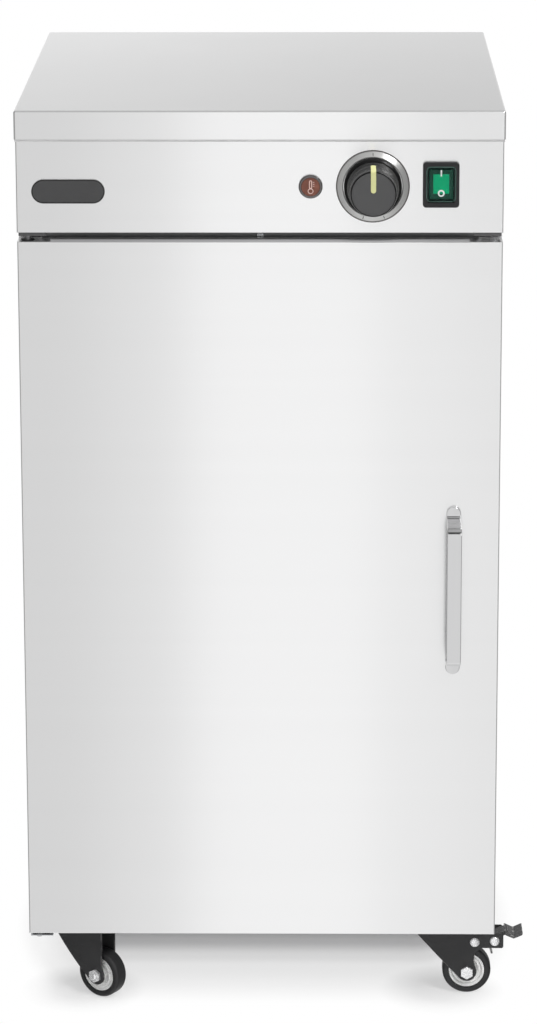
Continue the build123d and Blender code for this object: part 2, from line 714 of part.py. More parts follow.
def wiring_loom():
    rear = thermostat_rear()
    loom_y = rear + LOOM_SPACE
    switch_rear = FRONT_Y + SHEET + SWITCH_DEPTH
    lamp_rear = FRONT_Y + LAMP_DEPTH
    low = DECK_TOP + TERMINAL_H / 2
    high = PANEL_MID + SWITCHED_RISE
    feed_x = SWITCH_X + WIRE_SPREAD
    out_x = SWITCH_X - WIRE_SPREAD
    knob_right = KNOB_X + FEED_TAB_X
    knob_left = KNOB_X - LOAD_TAB_X
    heater_z = PANEL_MID - HEATER_DROP
    cutout_z = PANEL_MID - CUTOUT_DROP
    block_front = TERMINAL_Y - TERMINAL_D / 2
    block_back = TERMINAL_Y + TERMINAL_D / 2
    behind = block_back + LOOM_SPACE / 2
    supply = [
        (feed_x, block_front, low),
        (feed_x, loom_y, low),
        (feed_x, loom_y, SWITCH_Z),
        (feed_x, switch_rear, SWITCH_Z),
    ]
    switched = [
        (out_x, switch_rear, high),
        (out_x, loom_y, high),
        (knob_right, loom_y, high),
        (knob_right, rear, high),
    ]
    lamp = [
        (knob_left, rear, PANEL_MID),
        (knob_left, loom_y, PANEL_MID),
        (LAMP_X, loom_y, PANEL_MID),
        (LAMP_X, lamp_rear, PANEL_MID),
    ]
    heater = [
        (KNOB_X, rear, heater_z),
        (KNOB_X, CHANNEL_Y, heater_z),
        (ELEMENT_X, CHANNEL_Y, heater_z),
        (ELEMENT_X, CHANNEL_Y, ELEMENT_Z),
        (ELEMENT_X, ELEMENT_END, ELEMENT_Z),
    ]
    neutral = [
        (out_x, block_back, low),
        (out_x, behind, low),
        (-ELEMENT_X, behind, low),
        (-ELEMENT_X, CHANNEL_Y, low),
        (-ELEMENT_X, CHANNEL_Y, ELEMENT_Z),
        (-ELEMENT_X, ELEMENT_END, ELEMENT_Z),
    ]
    cutout = [
        (CUTOUT_X, CUTOUT_Y, LINER_TOP + CUTOUT_H),
        (CUTOUT_X, CUTOUT_Y, cutout_z),
        (knob_left, CUTOUT_Y, cutout_z),
        (knob_left, rear, cutout_z),
    ]
    routes = (supply, switched, lamp, heater, neutral, cutout)
    return Compound([tube(route, WIRE_R, WIRE_BEND) for route in routes])


def cable_gland():
    seat = (SWITCH_X, BACK_Y, GLAND_Z)
    out = (0, 1, 0)
    hex_end = (SWITCH_X, BACK_Y + GLAND_HEX_L, GLAND_Z)
    inner_face = (SWITCH_X, BACK_Y - SHEET, GLAND_Z)
    inner_end = (SWITCH_X, BACK_Y - SHEET - GLAND_INSIDE, GLAND_Z)
    cap_end = GLAND_CAP_L + GLAND_NOSE_L
    thread = rod(inner_end, out, GLAND_THREAD_R, SHEET + GLAND_INSIDE + GLAND_HEX_L)
    body = thread + hexagon(seat, out, GLAND_HEX, GLAND_HEX_L)
    outline = [
        (0, 0),
        (GLAND_CAP_R, 0),
        (GLAND_CAP_R, GLAND_CAP_L),
        (GLAND_NOSE_R, cap_end),
        (0, cap_end),
    ]
    body += Plane(origin=hex_end, z_dir=out) * turned(outline)
    body -= rod(inner_end, out, GLAND_BORE_R, SHEET + GLAND_INSIDE + GLAND_HEX_L + cap_end)
    nut = hexagon(inner_face, (0, -1, 0), GLAND_HEX, GLAND_NUT_L)
    nut -= rod(inner_face, (0, -1, 0), GLAND_THREAD_R + PRESS_GAP, GLAND_NUT_L)
    return Compound([body, nut])


# Controls
def pilot_lamp_body():
    outline = [
        (0, -LAMP_DEPTH),
        (LAMP_BARREL_R, -LAMP_DEPTH),
        (LAMP_BARREL_R, 0),
        (LAMP_R, 0),
        (LAMP_R, LAMP_H - LAMP_CHAMFER),
        (LAMP_R - LAMP_CHAMFER, LAMP_H),
        (LENS_R + PRESS_GAP, LAMP_H),
        (LENS_R + PRESS_GAP, LENS_SEAT),
        (0, LENS_SEAT),
    ]
    nut = Pos(0, 0, -SHEET - LAMP_NUT_H) * extrude(RegularPolygon(LAMP_NUT_R, 6), LAMP_NUT_H)
    nut -= Pos(0, 0, -LAMP_DEPTH / 2) * Cylinder(LAMP_BARREL_R + PRESS_GAP, LAMP_DEPTH)
    return Compound([on_panel(turned(outline), LAMP_X, PANEL_MID), on_panel(nut, LAMP_X, PANEL_MID)])


def pilot_lamp_lens():
    rim = LENS_SEAT + LENS_WALL
    crown = rim + LENS_CROWN
    side = Polyline((0, crown), (0, LENS_SEAT), (LENS_R, LENS_SEAT), (LENS_R, rim))
    dome = RadiusArc((LENS_R, rim), (0, crown), -dome_radius(LENS_R, LENS_CROWN))
    lens = revolve(Plane.XZ * make_face([side.edges(), dome.edges()]), Axis.Z)
    return on_panel(lens, LAMP_X, PANEL_MID)


def dial_ring():
    outline = [
        (RING_BORE_R, 0),
        (RING_R, 0),
        (RING_R, RING_H - RING_CHAMFER),
        (RING_R - RING_CHAMFER, RING_H),
        (RING_BORE_R, RING_H),
    ]
    return on_panel(turned(outline), KNOB_X, PANEL_MID)


def knob_blank(extra):
    """Knob without its hollow, thicker all over by the extra."""
    shoulder = KNOB_LIFT + KNOB_SKIRT_H
    outline = [
        (0, KNOB_LIFT),
        (KNOB_SKIRT_R + extra, KNOB_LIFT),
        (KNOB_SKIRT_R + extra, shoulder),
        (KNOB_NECK_R + extra, shoulder + KNOB_EDGE),
        (KNOB_FACE_R + extra, KNOB_H + extra),
        (0, KNOB_H + extra),
    ]
    blank = turned(outline)
    rim = blank.edges().filter_by(GeomType.CIRCLE).sort_by(Axis.Z)[-1]
    return fillet(rim, KNOB_EDGE + extra)


def knob():
    body = knob_blank(0)
    hollow_top = KNOB_LIFT + KNOB_HOLLOW_H
    hollow = [
        (KNOB_HUB_R, KNOB_LIFT),
        (KNOB_HOLLOW_R, KNOB_LIFT),
        (KNOB_HOLLOW_R, hollow_top),
        (KNOB_HUB_R, hollow_top),
    ]
    body -= turned(hollow)
    body -= Pos(0, 0, SHAFT_OUT / 2) * Cylinder(SHAFT_R + PRESS_GAP, SHAFT_OUT)
    return on_panel(body, KNOB_X, PANEL_MID)


def knob_pointer():
    strip = block(
        (-POINTER_W / 2, POINTER_W / 2),
        (-POINTER_TAIL, KNOB_SKIRT_R),
        (KNOB_LIFT + KNOB_SKIRT_H + 2 * KNOB_EDGE, KNOB_H + KNOB_EDGE),
    )
    inlay = (knob_blank(POINTER_T) & strip) - knob_blank(0)
    return on_panel(inlay, KNOB_X, PANEL_MID)


def switch_housing():
    frame = extrude(RectangleRounded(SWITCH_W, SWITCH_L, SWITCH_CORNER), SWITCH_OUT)
    case = Pos(0, 0, -(SHEET + SWITCH_DEPTH) / 2) * Box(SWITCH_BODY_W, SWITCH_BODY_L, SHEET + SWITCH_DEPTH)
    well_depth = SWITCH_OUT - SWITCH_WELL_FLOOR
    well = Pos(0, 0, SWITCH_OUT - well_depth / 2) * Box(SWITCH_WELL_W, SWITCH_WELL_L, well_depth)
    pivot = Pos(0, 0, ROCKER_PIVOT) * Rot(0, 90, 0) * Cylinder(ROCKER_PIN_R + RUN_GAP, SWITCH_BODY_W)
    return on_panel(frame + case - well - pivot, SWITCH_X, SWITCH_Z)


def switch_boot():
    base = SWITCH_OUT
    shell = extrude(RectangleRounded(BOOT_W, BOOT_L, BOOT_CORNER), BOOT_OUT)
    shell = fillet(shell.faces().sort_by(Axis.Z)[-1].edges(), BOOT_T)
    inner = RectangleRounded(BOOT_W - 2 * BOOT_T, BOOT_L - 2 * BOOT_T, BOOT_CORNER - BOOT_T)
    shell -= extrude(inner, BOOT_OUT - BOOT_T)
    return on_panel(Pos(0, 0, base) * shell, SWITCH_X, SWITCH_Z)


def rocker():
    half = ROCKER_L / 2
    outline = [
        (-half, ROCKER_ROOT),
        (half, ROCKER_ROOT),
        (half, ROCKER_TIP),
        (0, ROCKER_DIP),
        (-half, ROCKER_TIP),
    ]
    face = make_face(Polyline(*[(out, up) for up, out in outline], close=True))
    paddle = Pos(0, 0, ROCKER_W / 2) * extrude(face, -ROCKER_W)
    pin = Pos(ROCKER_PIVOT, 0, 0) * Cylinder(ROCKER_PIN_R, ROCKER_W + 2 * ROCKER_PIN_L)
    turned_flat = Rot(0, -90, 0) * (paddle + pin)
    pivot = Pos(0, 0, ROCKER_PIVOT)
    tilted = pivot * Rot(-ROCKER_TILT, 0, 0) * pivot.inverse() * turned_flat
    return on_panel(tilted, SWITCH_X, SWITCH_Z)


def badge_plate():
    plate = extrude(SlotOverall(BADGE_L, BADGE_W), BADGE_T)
    plate = chamfer(plate.faces().sort_by(Axis.Z)[-1].edges(), BADGE_EDGE)
    return on_panel(plate, BADGE_X, PANEL_MID - BADGE_DROP)


# Hinges, catch and screws
def hinge_plates():
    outer = SIDE_X - HINGE_INSET
    front = FRONT_Y + HINGE_INSET
    top = block((-outer, -outer + HINGE_W), (front, FRAME_Y), (PANEL_BOTTOM - HINGE_T, PANEL_BOTTOM))
    low_depth = (front, FRAME_Y + LOW_HINGE_SEAT)
    low = block((-outer, -outer + LOW_HINGE_W), low_depth, (CASTOR_H - HINGE_T, CASTOR_H))
    for level in (PANEL_BOTTOM, CASTOR_H):
        hole = rod((PIVOT_X, PIVOT_Y, level), (0, 0, -1), PIN_R + PRESS_GAP, HINGE_T)
        top -= hole
        low -= hole
    for seat in top_hinge_seats():
        top -= screw_hole(seat, (0, 0, 1), HINGE_T)
    for seat in low_hinge_seats():
        low -= screw_hole(seat, (0, 0, 1), HINGE_T)
    return Compound([top, mirrored(top), low])


def hinge_pins():
    top = rod((PIVOT_X, PIVOT_Y, PANEL_BOTTOM), (0, 0, -1), PIN_R, DOOR_GAP + PIN_REACH)
    top += rod((PIVOT_X, PIVOT_Y, PANEL_BOTTOM - HINGE_T), (0, 0, -1), COLLAR_R, COLLAR_H)
    low = rod((PIVOT_X, PIVOT_Y, CASTOR_H - HINGE_T), (0, 0, 1), PIN_R, HINGE_T + DOOR_BASE_GAP + PIN_REACH)
    low += rod((PIVOT_X, PIVOT_Y, CASTOR_H), (0, 0, 1), COLLAR_R, COLLAR_H)
    return Compound([top, low])


def hinge_bush(level, outwards):
    """Flanged bush in the door's end wall, with its flange outside the wall."""
    start = (PIVOT_X, PIVOT_Y, level)
    inwards = (0, 0, -outwards)
    bush = rod(start, inwards, BUSH_R, BUSH_L)
    bush += rod(start, (0, 0, outwards), BUSH_FLANGE_R, BUSH_FLANGE_H)
    flange_face = (PIVOT_X, PIVOT_Y, level + outwards * BUSH_FLANGE_H)
    return bush - rod(flange_face, inwards, PIN_R + RUN_GAP, BUSH_FLANGE_H + BUSH_L)


def hinge_bushes():
    return Compound([hinge_bush(DOOR_TOP, 1), hinge_bush(DOOR_BOTTOM, -1)])


def catch_magnet():
    x = SIDE_X - MAGNET_FROM_SIDE
    width = (x - MAGNET_W / 2, x + MAGNET_W / 2)
    return block(width, (FRAME_Y - MAGNET_T, FRAME_Y), (DOOR_MID - MAGNET_L / 2, DOOR_MID + MAGNET_L / 2))


def cabinet_fasteners():
    screws = [screw(seat, (0, 0, 1), HINGE_T + SHEET) for seat in top_hinge_seats()]
    screws += [screw(seat, (0, 0, 1), HINGE_T + BASE_SHEET) for seat in low_hinge_seats()]
    screws += [screw(seat, (0, -1, 0), 2 * SHEET) for seat in back_seats()]
    screws += [screw(seat, (0, 1, 0), THERMO_SCREW_L) for seat in thermostat_seats()]
    screws.append(screw(panel_seat(), (0, 0, 1), PANEL_SCREW_L))
    return Compound(screws + castor_nuts())


# Door
def handle_screw_levels():
    half = HANDLE_L / 2 - HANDLE_SCREW_IN
    return (HANDLE_Z - half, HANDLE_Z + half)


def door_outer_skin():
    depth = (FRONT_Y, DOOR_BACK)
    outer = block((-DOOR_X, DOOR_X), depth, (DOOR_BOTTOM, DOOR_TOP))
    outer = fillet(outer.faces().sort_by(Axis.Y)[0].edges(), DOOR_BEND)
    inside_x = DOOR_X - SHEET
    skin = outer - block(
        (-inside_x, inside_x), (FRONT_Y + SHEET, DOOR_BACK), (DOOR_BOTTOM + SHEET, DOOR_TOP - SHEET)
    )
    for level, way in ((DOOR_TOP, -1), (DOOR_BOTTOM, 1)):
        skin -= rod((PIVOT_X, PIVOT_Y, level), (0, 0, way), BUSH_R + PRESS_GAP, SHEET)
    vent = (DOOR_X - VENT_FROM_SIDE, FRONT_Y + VENT_FROM_FRONT, DOOR_TOP)
    skin -= rod(vent, (0, 0, -1), VENT_R, SHEET)
    for level in handle_screw_levels():
        skin -= screw_hole((HANDLE_X, FRONT_Y, level), (0, 1, 0), SHEET)
    return skin


def door_inner_skin():
    x = DOOR_X - SHEET
    low = DOOR_BOTTOM + SHEET
    high = DOOR_TOP - SHEET
    pan = block((-x, x), (DOOR_BACK - SHEET - INNER_FLANGE, DOOR_BACK), (low, high))
    hollow_x = x - SHEET
    hollow_y = (DOOR_BACK - SHEET - INNER_FLANGE, DOOR_BACK - SHEET)
    return pan - block((-hollow_x, hollow_x), hollow_y, (low + SHEET, high - SHEET))


def door_insulation():
    x = DOOR_X - 2 * SHEET
    slab = block(
        (-x, x), (FRONT_Y + SHEET, DOOR_BACK - SHEET), (DOOR_BOTTOM + 2 * SHEET, DOOR_TOP - 2 * SHEET)
    )
    for level, way in ((DOOR_TOP, -1), (DOOR_BOTTOM, 1)):
        slab -= rod((PIVOT_X, PIVOT_Y, level), (0, 0, way), BUSH_R + FREE_GAP, BUSH_L + FREE_GAP)
    for level in handle_screw_levels():
        pocket = (HANDLE_X, FRONT_Y + SHEET, level)
        slab -= rod(pocket, (0, 1, 0), SCREW_HEAD_R + FREE_GAP, SCREW_HEAD_H + FREE_GAP)
    return slab


def door_gasket():
    outer_x = DOOR_X - GASKET_INSET
    outer_z = (DOOR_BOTTOM + GASKET_INSET, DOOR_TOP - GASKET_INSET)
    depth = (DOOR_BACK, DOOR_BACK + SEAL_GAP - FREE_GAP)
    upright_strip = block((outer_x - GASKET_W, outer_x), depth, outer_z)
    inner_x = outer_x - GASKET_W
    low = block((-inner_x, inner_x), depth, (outer_z[0], outer_z[0] + GASKET_W))
    high = block((-inner_x, inner_x), depth, (outer_z[1] - GASKET_W, outer_z[1]))
    return Compound([mirrored(upright_strip), upright_strip, low, high])


def handle_side(foot_out, bar_out, shift, foot_bend, bar_bend):
    """One long side of the bent strip: X along the handle from its middle, Y out from the door."""
    foot_end = HANDLE_L / 2 - HANDLE_FOOT - shift
    bar_end = foot_end - HANDLE_RAMP
    half = [(bar_end, bar_out), (foot_end, foot_out), (HANDLE_L / 2, foot_out)]
    points = [(-along, out) for along, out in reversed(half)] + half
    return FilletPolyline(*points, radius=[foot_bend, bar_bend, bar_bend, foot_bend])


def door_handle():
    turn = atan2(HANDLE_REACH - HANDLE_T, HANDLE_RAMP)
    shift = HANDLE_T / 2 * tan(turn / 2)
    tight = HANDLE_BEND - HANDLE_T / 2
    wide = HANDLE_BEND + HANDLE_T / 2
    front = handle_side(HANDLE_T, HANDLE_REACH, -shift, tight, wide)
    back = handle_side(0, HANDLE_REACH - HANDLE_T, shift, wide, tight)
    ends = [Line(front @ 0, back @ 0), Line(front @ 1, back @ 1)]
    strip = extrude(make_face([*front.edges(), *back.edges(), *ends]), HANDLE_W)
    strip = fillet(strip.edges().filter_by(Axis.Y), (HANDLE_W - FREE_GAP) / 2)
    strip = fillet(strip.faces().filter_by(Axis.Z).edges(), HANDLE_EDGE)
    seat = Plane(origin=(HANDLE_X - HANDLE_W / 2, FRONT_Y, HANDLE_Z), x_dir=(0, 0, 1), z_dir=(1, 0, 0))
    strip = seat * strip
    for level in handle_screw_levels():
        strip -= screw_hole((HANDLE_X, FRONT_Y, level), (0, -1, 0), HANDLE_SCREW_GRIP)
    return strip


def handle_screws():
    seats = [(HANDLE_X, FRONT_Y + SHEET, level) for level in handle_screw_levels()]
    return Compound([screw(seat, (0, -1, 0), SHEET + HANDLE_SCREW_GRIP) for seat in seats])


# Castors, drawn with the swivel axis on Z and the wheel trailing towards +X
def castor_stems():
    thread_top = BASE_TOP + STEM_REACH
    head_top = CROWN_BOTTOM - FREE_GAP
    outline = [
        (0, head_top - KINGPIN_HEAD_H),
        (KINGPIN_HEAD_R, head_top - KINGPIN_HEAD_H),
        (KINGPIN_HEAD_R, head_top),
        (KINGPIN_R, head_top),
        (KINGPIN_R, CASTOR_H - STEM_COLLAR_H),
        (STEM_COLLAR_R, CASTOR_H - STEM_COLLAR_H),
        (STEM_COLLAR_R, CASTOR_H),
        (STEM_THREAD_R, CASTOR_H),
        (STEM_THREAD_R, thread_top),
        (0, thread_top),
    ]
    return Compound([Pos(x, y, 0) * turned(outline) for x, y in castor_places().values()])


def castor_nuts():
    nut = hexagon((0, 0, BASE_TOP), (0, 0, 1), NUT_HEX, NUT_H)
    nut -= rod((0, 0, BASE_TOP), (0, 0, 1), STEM_THREAD_R + PRESS_GAP, NUT_H)
    return [Pos(x, y, 0) * nut for x, y in castor_places().values()]


def fork_cheek(braked):
    """One side plate of a fork, as a flat drawing with X along the trail and Y up."""
    corners = [
        (-FORK_LEAD, CROWN_TOP),
        (FORK_TAIL, CROWN_TOP),
        (CASTOR_TRAIL + FORK_EAR_R, WHEEL_R),
        (CASTOR_TRAIL - FORK_EAR_R, WHEEL_R),
    ]
    cheek = make_face(Polyline(*corners, close=True))
    cheek += Pos(CASTOR_TRAIL, WHEEL_R) * Circle(FORK_EAR_R)
    if braked:
        arm = [
            (CASTOR_TRAIL, BRAKE_BOTTOM),
            (BRAKE_END, BRAKE_BOTTOM),
            (BRAKE_END, BRAKE_TOP),
            (CASTOR_TRAIL, BRAKE_TOP),
        ]
        cheek += make_face(Polyline(*arm, close=True))
        for x, z in (BRAKE_PIVOT, BRAKE_STOP):
            cheek -= Pos(x, z) * Circle(RIVET_R + PRESS_GAP)
    return cheek - Pos(CASTOR_TRAIL, WHEEL_R) * Circle(AXLE_R + PRESS_GAP)


def castor_fork(braked):
    outer = FORK_INNER / 2 + FORK_T
    cheek = Pos(0, outer - FORK_T / 2, 0) * upright(fork_cheek(braked), FORK_T)
    crown = block((-FORK_LEAD, FORK_TAIL), (-outer, outer), (CROWN_BOTTOM, CROWN_TOP))
    crown += rod((0, 0, CROWN_BOTTOM), (0, 0, 1), STEM_COLLAR_R + FORK_CROWN_T, FORK_CROWN_T)
    fork = crown + cheek + mirror(cheek, Plane.XZ)
    return fork - rod((0, 0, CROWN_BOTTOM), (0, 0, 1), KINGPIN_R + RUN_GAP, FORK_CROWN_T)


def rivet(place):
    """Rivet through both cheeks with a domed head at each side."""
    x, z = place
    outer = FORK_INNER / 2 + FORK_T
    sides = Polyline((0, RIVET_HEAD_H), (0, 0), (RIVET_HEAD_R, 0))
    dome = RadiusArc((RIVET_HEAD_R, 0), (0, RIVET_HEAD_H), -dome_radius(RIVET_HEAD_R, RIVET_HEAD_H))
    head = revolve(Plane.XZ * make_face([sides.edges(), dome.edges()]), Axis.Z)
    body = rod((x, -outer, z), (0, 1, 0), RIVET_R, 2 * outer)
    for side in (-1, 1):
        body += Plane(origin=(x, side * outer, z), z_dir=(0, side, 0)) * head
    return body


def castor_axle(braked):
    outer = FORK_INNER / 2 + FORK_T
    near = (CASTOR_TRAIL, -outer, WHEEL_R)
    far = (CASTOR_TRAIL, outer, WHEEL_R)
    bolt = hexagon(near, (0, -1, 0), AXLE_HEX, AXLE_HEAD_H)
    bolt += rod(near, (0, 1, 0), AXLE_R, 2 * outer + AXLE_HEAD_H + AXLE_TAIL)
    nut = hexagon(far, (0, 1, 0), AXLE_HEX, AXLE_HEAD_H)
    nut -= rod(far, (0, 1, 0), AXLE_R + PRESS_GAP, AXLE_HEAD_H)
    pieces = [bolt, nut]
    if braked:
        pieces += [rivet(BRAKE_PIVOT), rivet(BRAKE_STOP)]
    return Compound(pieces)


def castor_rim():
    half = RIM_W / 2
    hub_half = FORK_INNER / 2 - FREE_GAP
    bore = AXLE_R + RUN_GAP
    upper = [
        (bore, hub_half),
        (HUB_R, hub_half),
        (HUB_R, half - RIM_DISH),
        (RIM_DISH_R, half - RIM_DISH),
        (RIM_DISH_R, half),
        (RIM_R, half),
    ]
    lower = [(radius, -height) for radius, height in reversed(upper)]
    return Pos(CASTOR_TRAIL, 0, WHEEL_R) * Rot(90, 0, 0) * turned(upper + lower)


def castor_tyre():
    inner = RIM_R + PRESS_GAP
    section = Pos((inner + WHEEL_R) / 2, 0) * Rectangle(WHEEL_R - inner, TYRE_W)
    section = fillet(section.vertices().group_by(Axis.X)[-1], TYRE_EDGE)
    tyre = revolve(Plane.XZ * section, Axis.Z)
    return Pos(CASTOR_TRAIL, 0, WHEEL_R) * Rot(90, 0, 0) * tyre


def brake_pedal():
    pivot_x, pivot_z = BRAKE_PIVOT
    start = BRAKE_END + PEDAL_GAP
    level = pivot_z + PEDAL_LIFT
    hub = Pos(pivot_x, pivot_z) * Circle(PEDAL_HUB_R)
    shoe = Pos(pivot_x - PEDAL_HUB_R + SHOE_W / 2, pivot_z - SHOE_L / 2) * Rectangle(SHOE_W, SHOE_L)
    arm = make_face(
        Polyline(
            (pivot_x, pivot_z),
            (pivot_x, pivot_z + PEDAL_HUB_R),
            (start + PEDAL_T, level + PEDAL_T),
            (start + PEDAL_T, level),
            close=True,
        )
    )
    lever = upright(hub + shoe + arm, LEVER_W)
    lever -= rod((pivot_x, -LEVER_W, pivot_z), (0, 1, 0), RIVET_R + RUN_GAP, 2 * LEVER_W)
    middle = start + PEDAL_L / 2
    valley = level - PEDAL_VALLEY
    pad = make_face(
        Polyline(
            (start, level),
            (middle, valley),
            (start + PEDAL_L, level),
            (start + PEDAL_L, level + PEDAL_T),
            (middle, valley + PEDAL_T),
            (start, level + PEDAL_T),
            close=True,
        )
    )
    return lever + upright(pad, PEDAL_W)


def all_parts():
    right_panel = side_panel_right()
    parts = {
        "top_lid": top_lid(),
        "side_panel_left": mirrored(right_panel),
        "side_panel_right": right_panel,
        "back_panel": back_panel(),
        "base_pan": base_pan(),
        "control_panel": control_panel(),
        "electrics_deck": electrics_deck(),
        "inner_liner": inner_liner(),
        "insulation_slabs": insulation_slabs(),
        "shelf_runners": shelf_runners(),
        "wire_shelves": Compound([wire_shelf(level) for level in shelf_levels()]),
        "element_cover": element_cover(),
        "heating_element": heating_element(),
        "element_clips": element_clips(),
        "thermostat_body": thermostat_body(),
        "thermostat_sensor": thermostat_sensor(),
        "safety_cutout": safety_cutout(),
        "terminal_block": terminal_block(),
        "wiring_loom": wiring_loom(),
        "cable_gland": cable_gland(),
        "pilot_lamp_body": pilot_lamp_body(),
        "pilot_lamp_lens": pilot_lamp_lens(),
        "dial_ring": dial_ring(),
        "switch_housing": switch_housing(),
        "switch_boot": switch_boot(),
        "badge_plate": badge_plate(),
        "hinge_plates": hinge_plates(),
        "hinge_pins": hinge_pins(),
        "catch_magnet": catch_magnet(),
        "cabinet_fasteners": cabinet_fasteners(),
        "castor_stems": castor_stems(),
        "door_outer_skin": door_outer_skin(),
        "door_inner_skin": door_inner_skin(),
        "door_insulation": door_insulation(),
        "door_gasket": door_gasket(),
        "door_handle": door_handle(),
        "handle_screws": handle_screws(),
        "hinge_bushes": hinge_bushes(),
        "knob": knob(),
        "knob_pointer": knob_pointer(),
        "thermostat_shaft": thermostat_shaft(),
        "rocker": rocker(),
    }
    for name, (x, y) in castor_places().items():
        place = Pos(x, y, 0) * Rot(0, 0, CASTOR_TURNS[name])
        braked = name in BRAKED
        parts[f"fork_{name}"] = place * castor_fork(braked)
        parts[f"axle_{name}"] = place * castor_axle(braked)
        parts[f"rim_{name}"] = place * castor_rim()
        parts[f"tyre_{name}"] = place * castor_tyre()
        if braked:
            parts[f"brake_pedal_{name}"] = place * brake_pedal()
    return parts


def main():
    os.makedirs("parts", exist_ok=True)
    for name, piece in all_parts().items():
        export_step(piece, f"parts/{name}.step")


if __name__ == "__main__":
    main()
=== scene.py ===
import json
import logging
import math
from dataclasses import dataclass, field
from enum import Enum
from typing import Callable, Sequence

import bmesh
import bpy
from mathutils import Matrix, Vector


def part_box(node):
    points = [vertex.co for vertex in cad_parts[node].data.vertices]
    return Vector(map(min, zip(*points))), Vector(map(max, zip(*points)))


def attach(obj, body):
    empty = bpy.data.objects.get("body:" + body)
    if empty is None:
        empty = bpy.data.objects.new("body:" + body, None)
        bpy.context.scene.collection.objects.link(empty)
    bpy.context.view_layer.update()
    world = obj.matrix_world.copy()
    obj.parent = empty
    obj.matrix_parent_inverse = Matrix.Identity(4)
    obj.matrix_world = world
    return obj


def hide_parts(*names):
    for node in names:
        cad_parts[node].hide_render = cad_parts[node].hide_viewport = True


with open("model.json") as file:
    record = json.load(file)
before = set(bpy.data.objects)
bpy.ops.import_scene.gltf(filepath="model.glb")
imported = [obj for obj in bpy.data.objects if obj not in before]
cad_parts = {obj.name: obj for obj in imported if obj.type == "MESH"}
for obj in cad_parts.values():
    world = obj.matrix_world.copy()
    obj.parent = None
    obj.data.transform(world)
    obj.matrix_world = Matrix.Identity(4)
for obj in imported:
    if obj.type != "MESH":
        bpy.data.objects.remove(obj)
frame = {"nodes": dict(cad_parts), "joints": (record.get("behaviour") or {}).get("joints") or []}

# A heated plate cabinet: sizes inside the classes are millimetres, places come from the frame
LOG = logging.getLogger("plate_warmer")
MM = 0.001
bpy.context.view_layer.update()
JOINTS = {joint["name"]: joint for joint in frame["joints"]}
KNOB_CENTRE = tuple(JOINTS["knob_turn"]["pos_m"])
CASTOR_NAMES = ("front_left", "front_right", "rear_left", "rear_right")

# Limits for picking edges, a height and a steepness in degrees, and the reach of merges and cuts
NEAR = 0.1
STEEP = 50.0
MERGE = 0.001
NODE_MERGE = 0.01
CUT_REACH = 0.0001
OUTWARD = Vector((0.0, 0.0, 1.0))
WHITE = (1.0, 1.0, 1.0)

Point = tuple[float, float]
Place = tuple[float, float, float]
Colour = tuple[float, float, float]
Socket = bpy.types.NodeSocket
EdgeTest = Callable[[bmesh.types.BMEdge], bool]


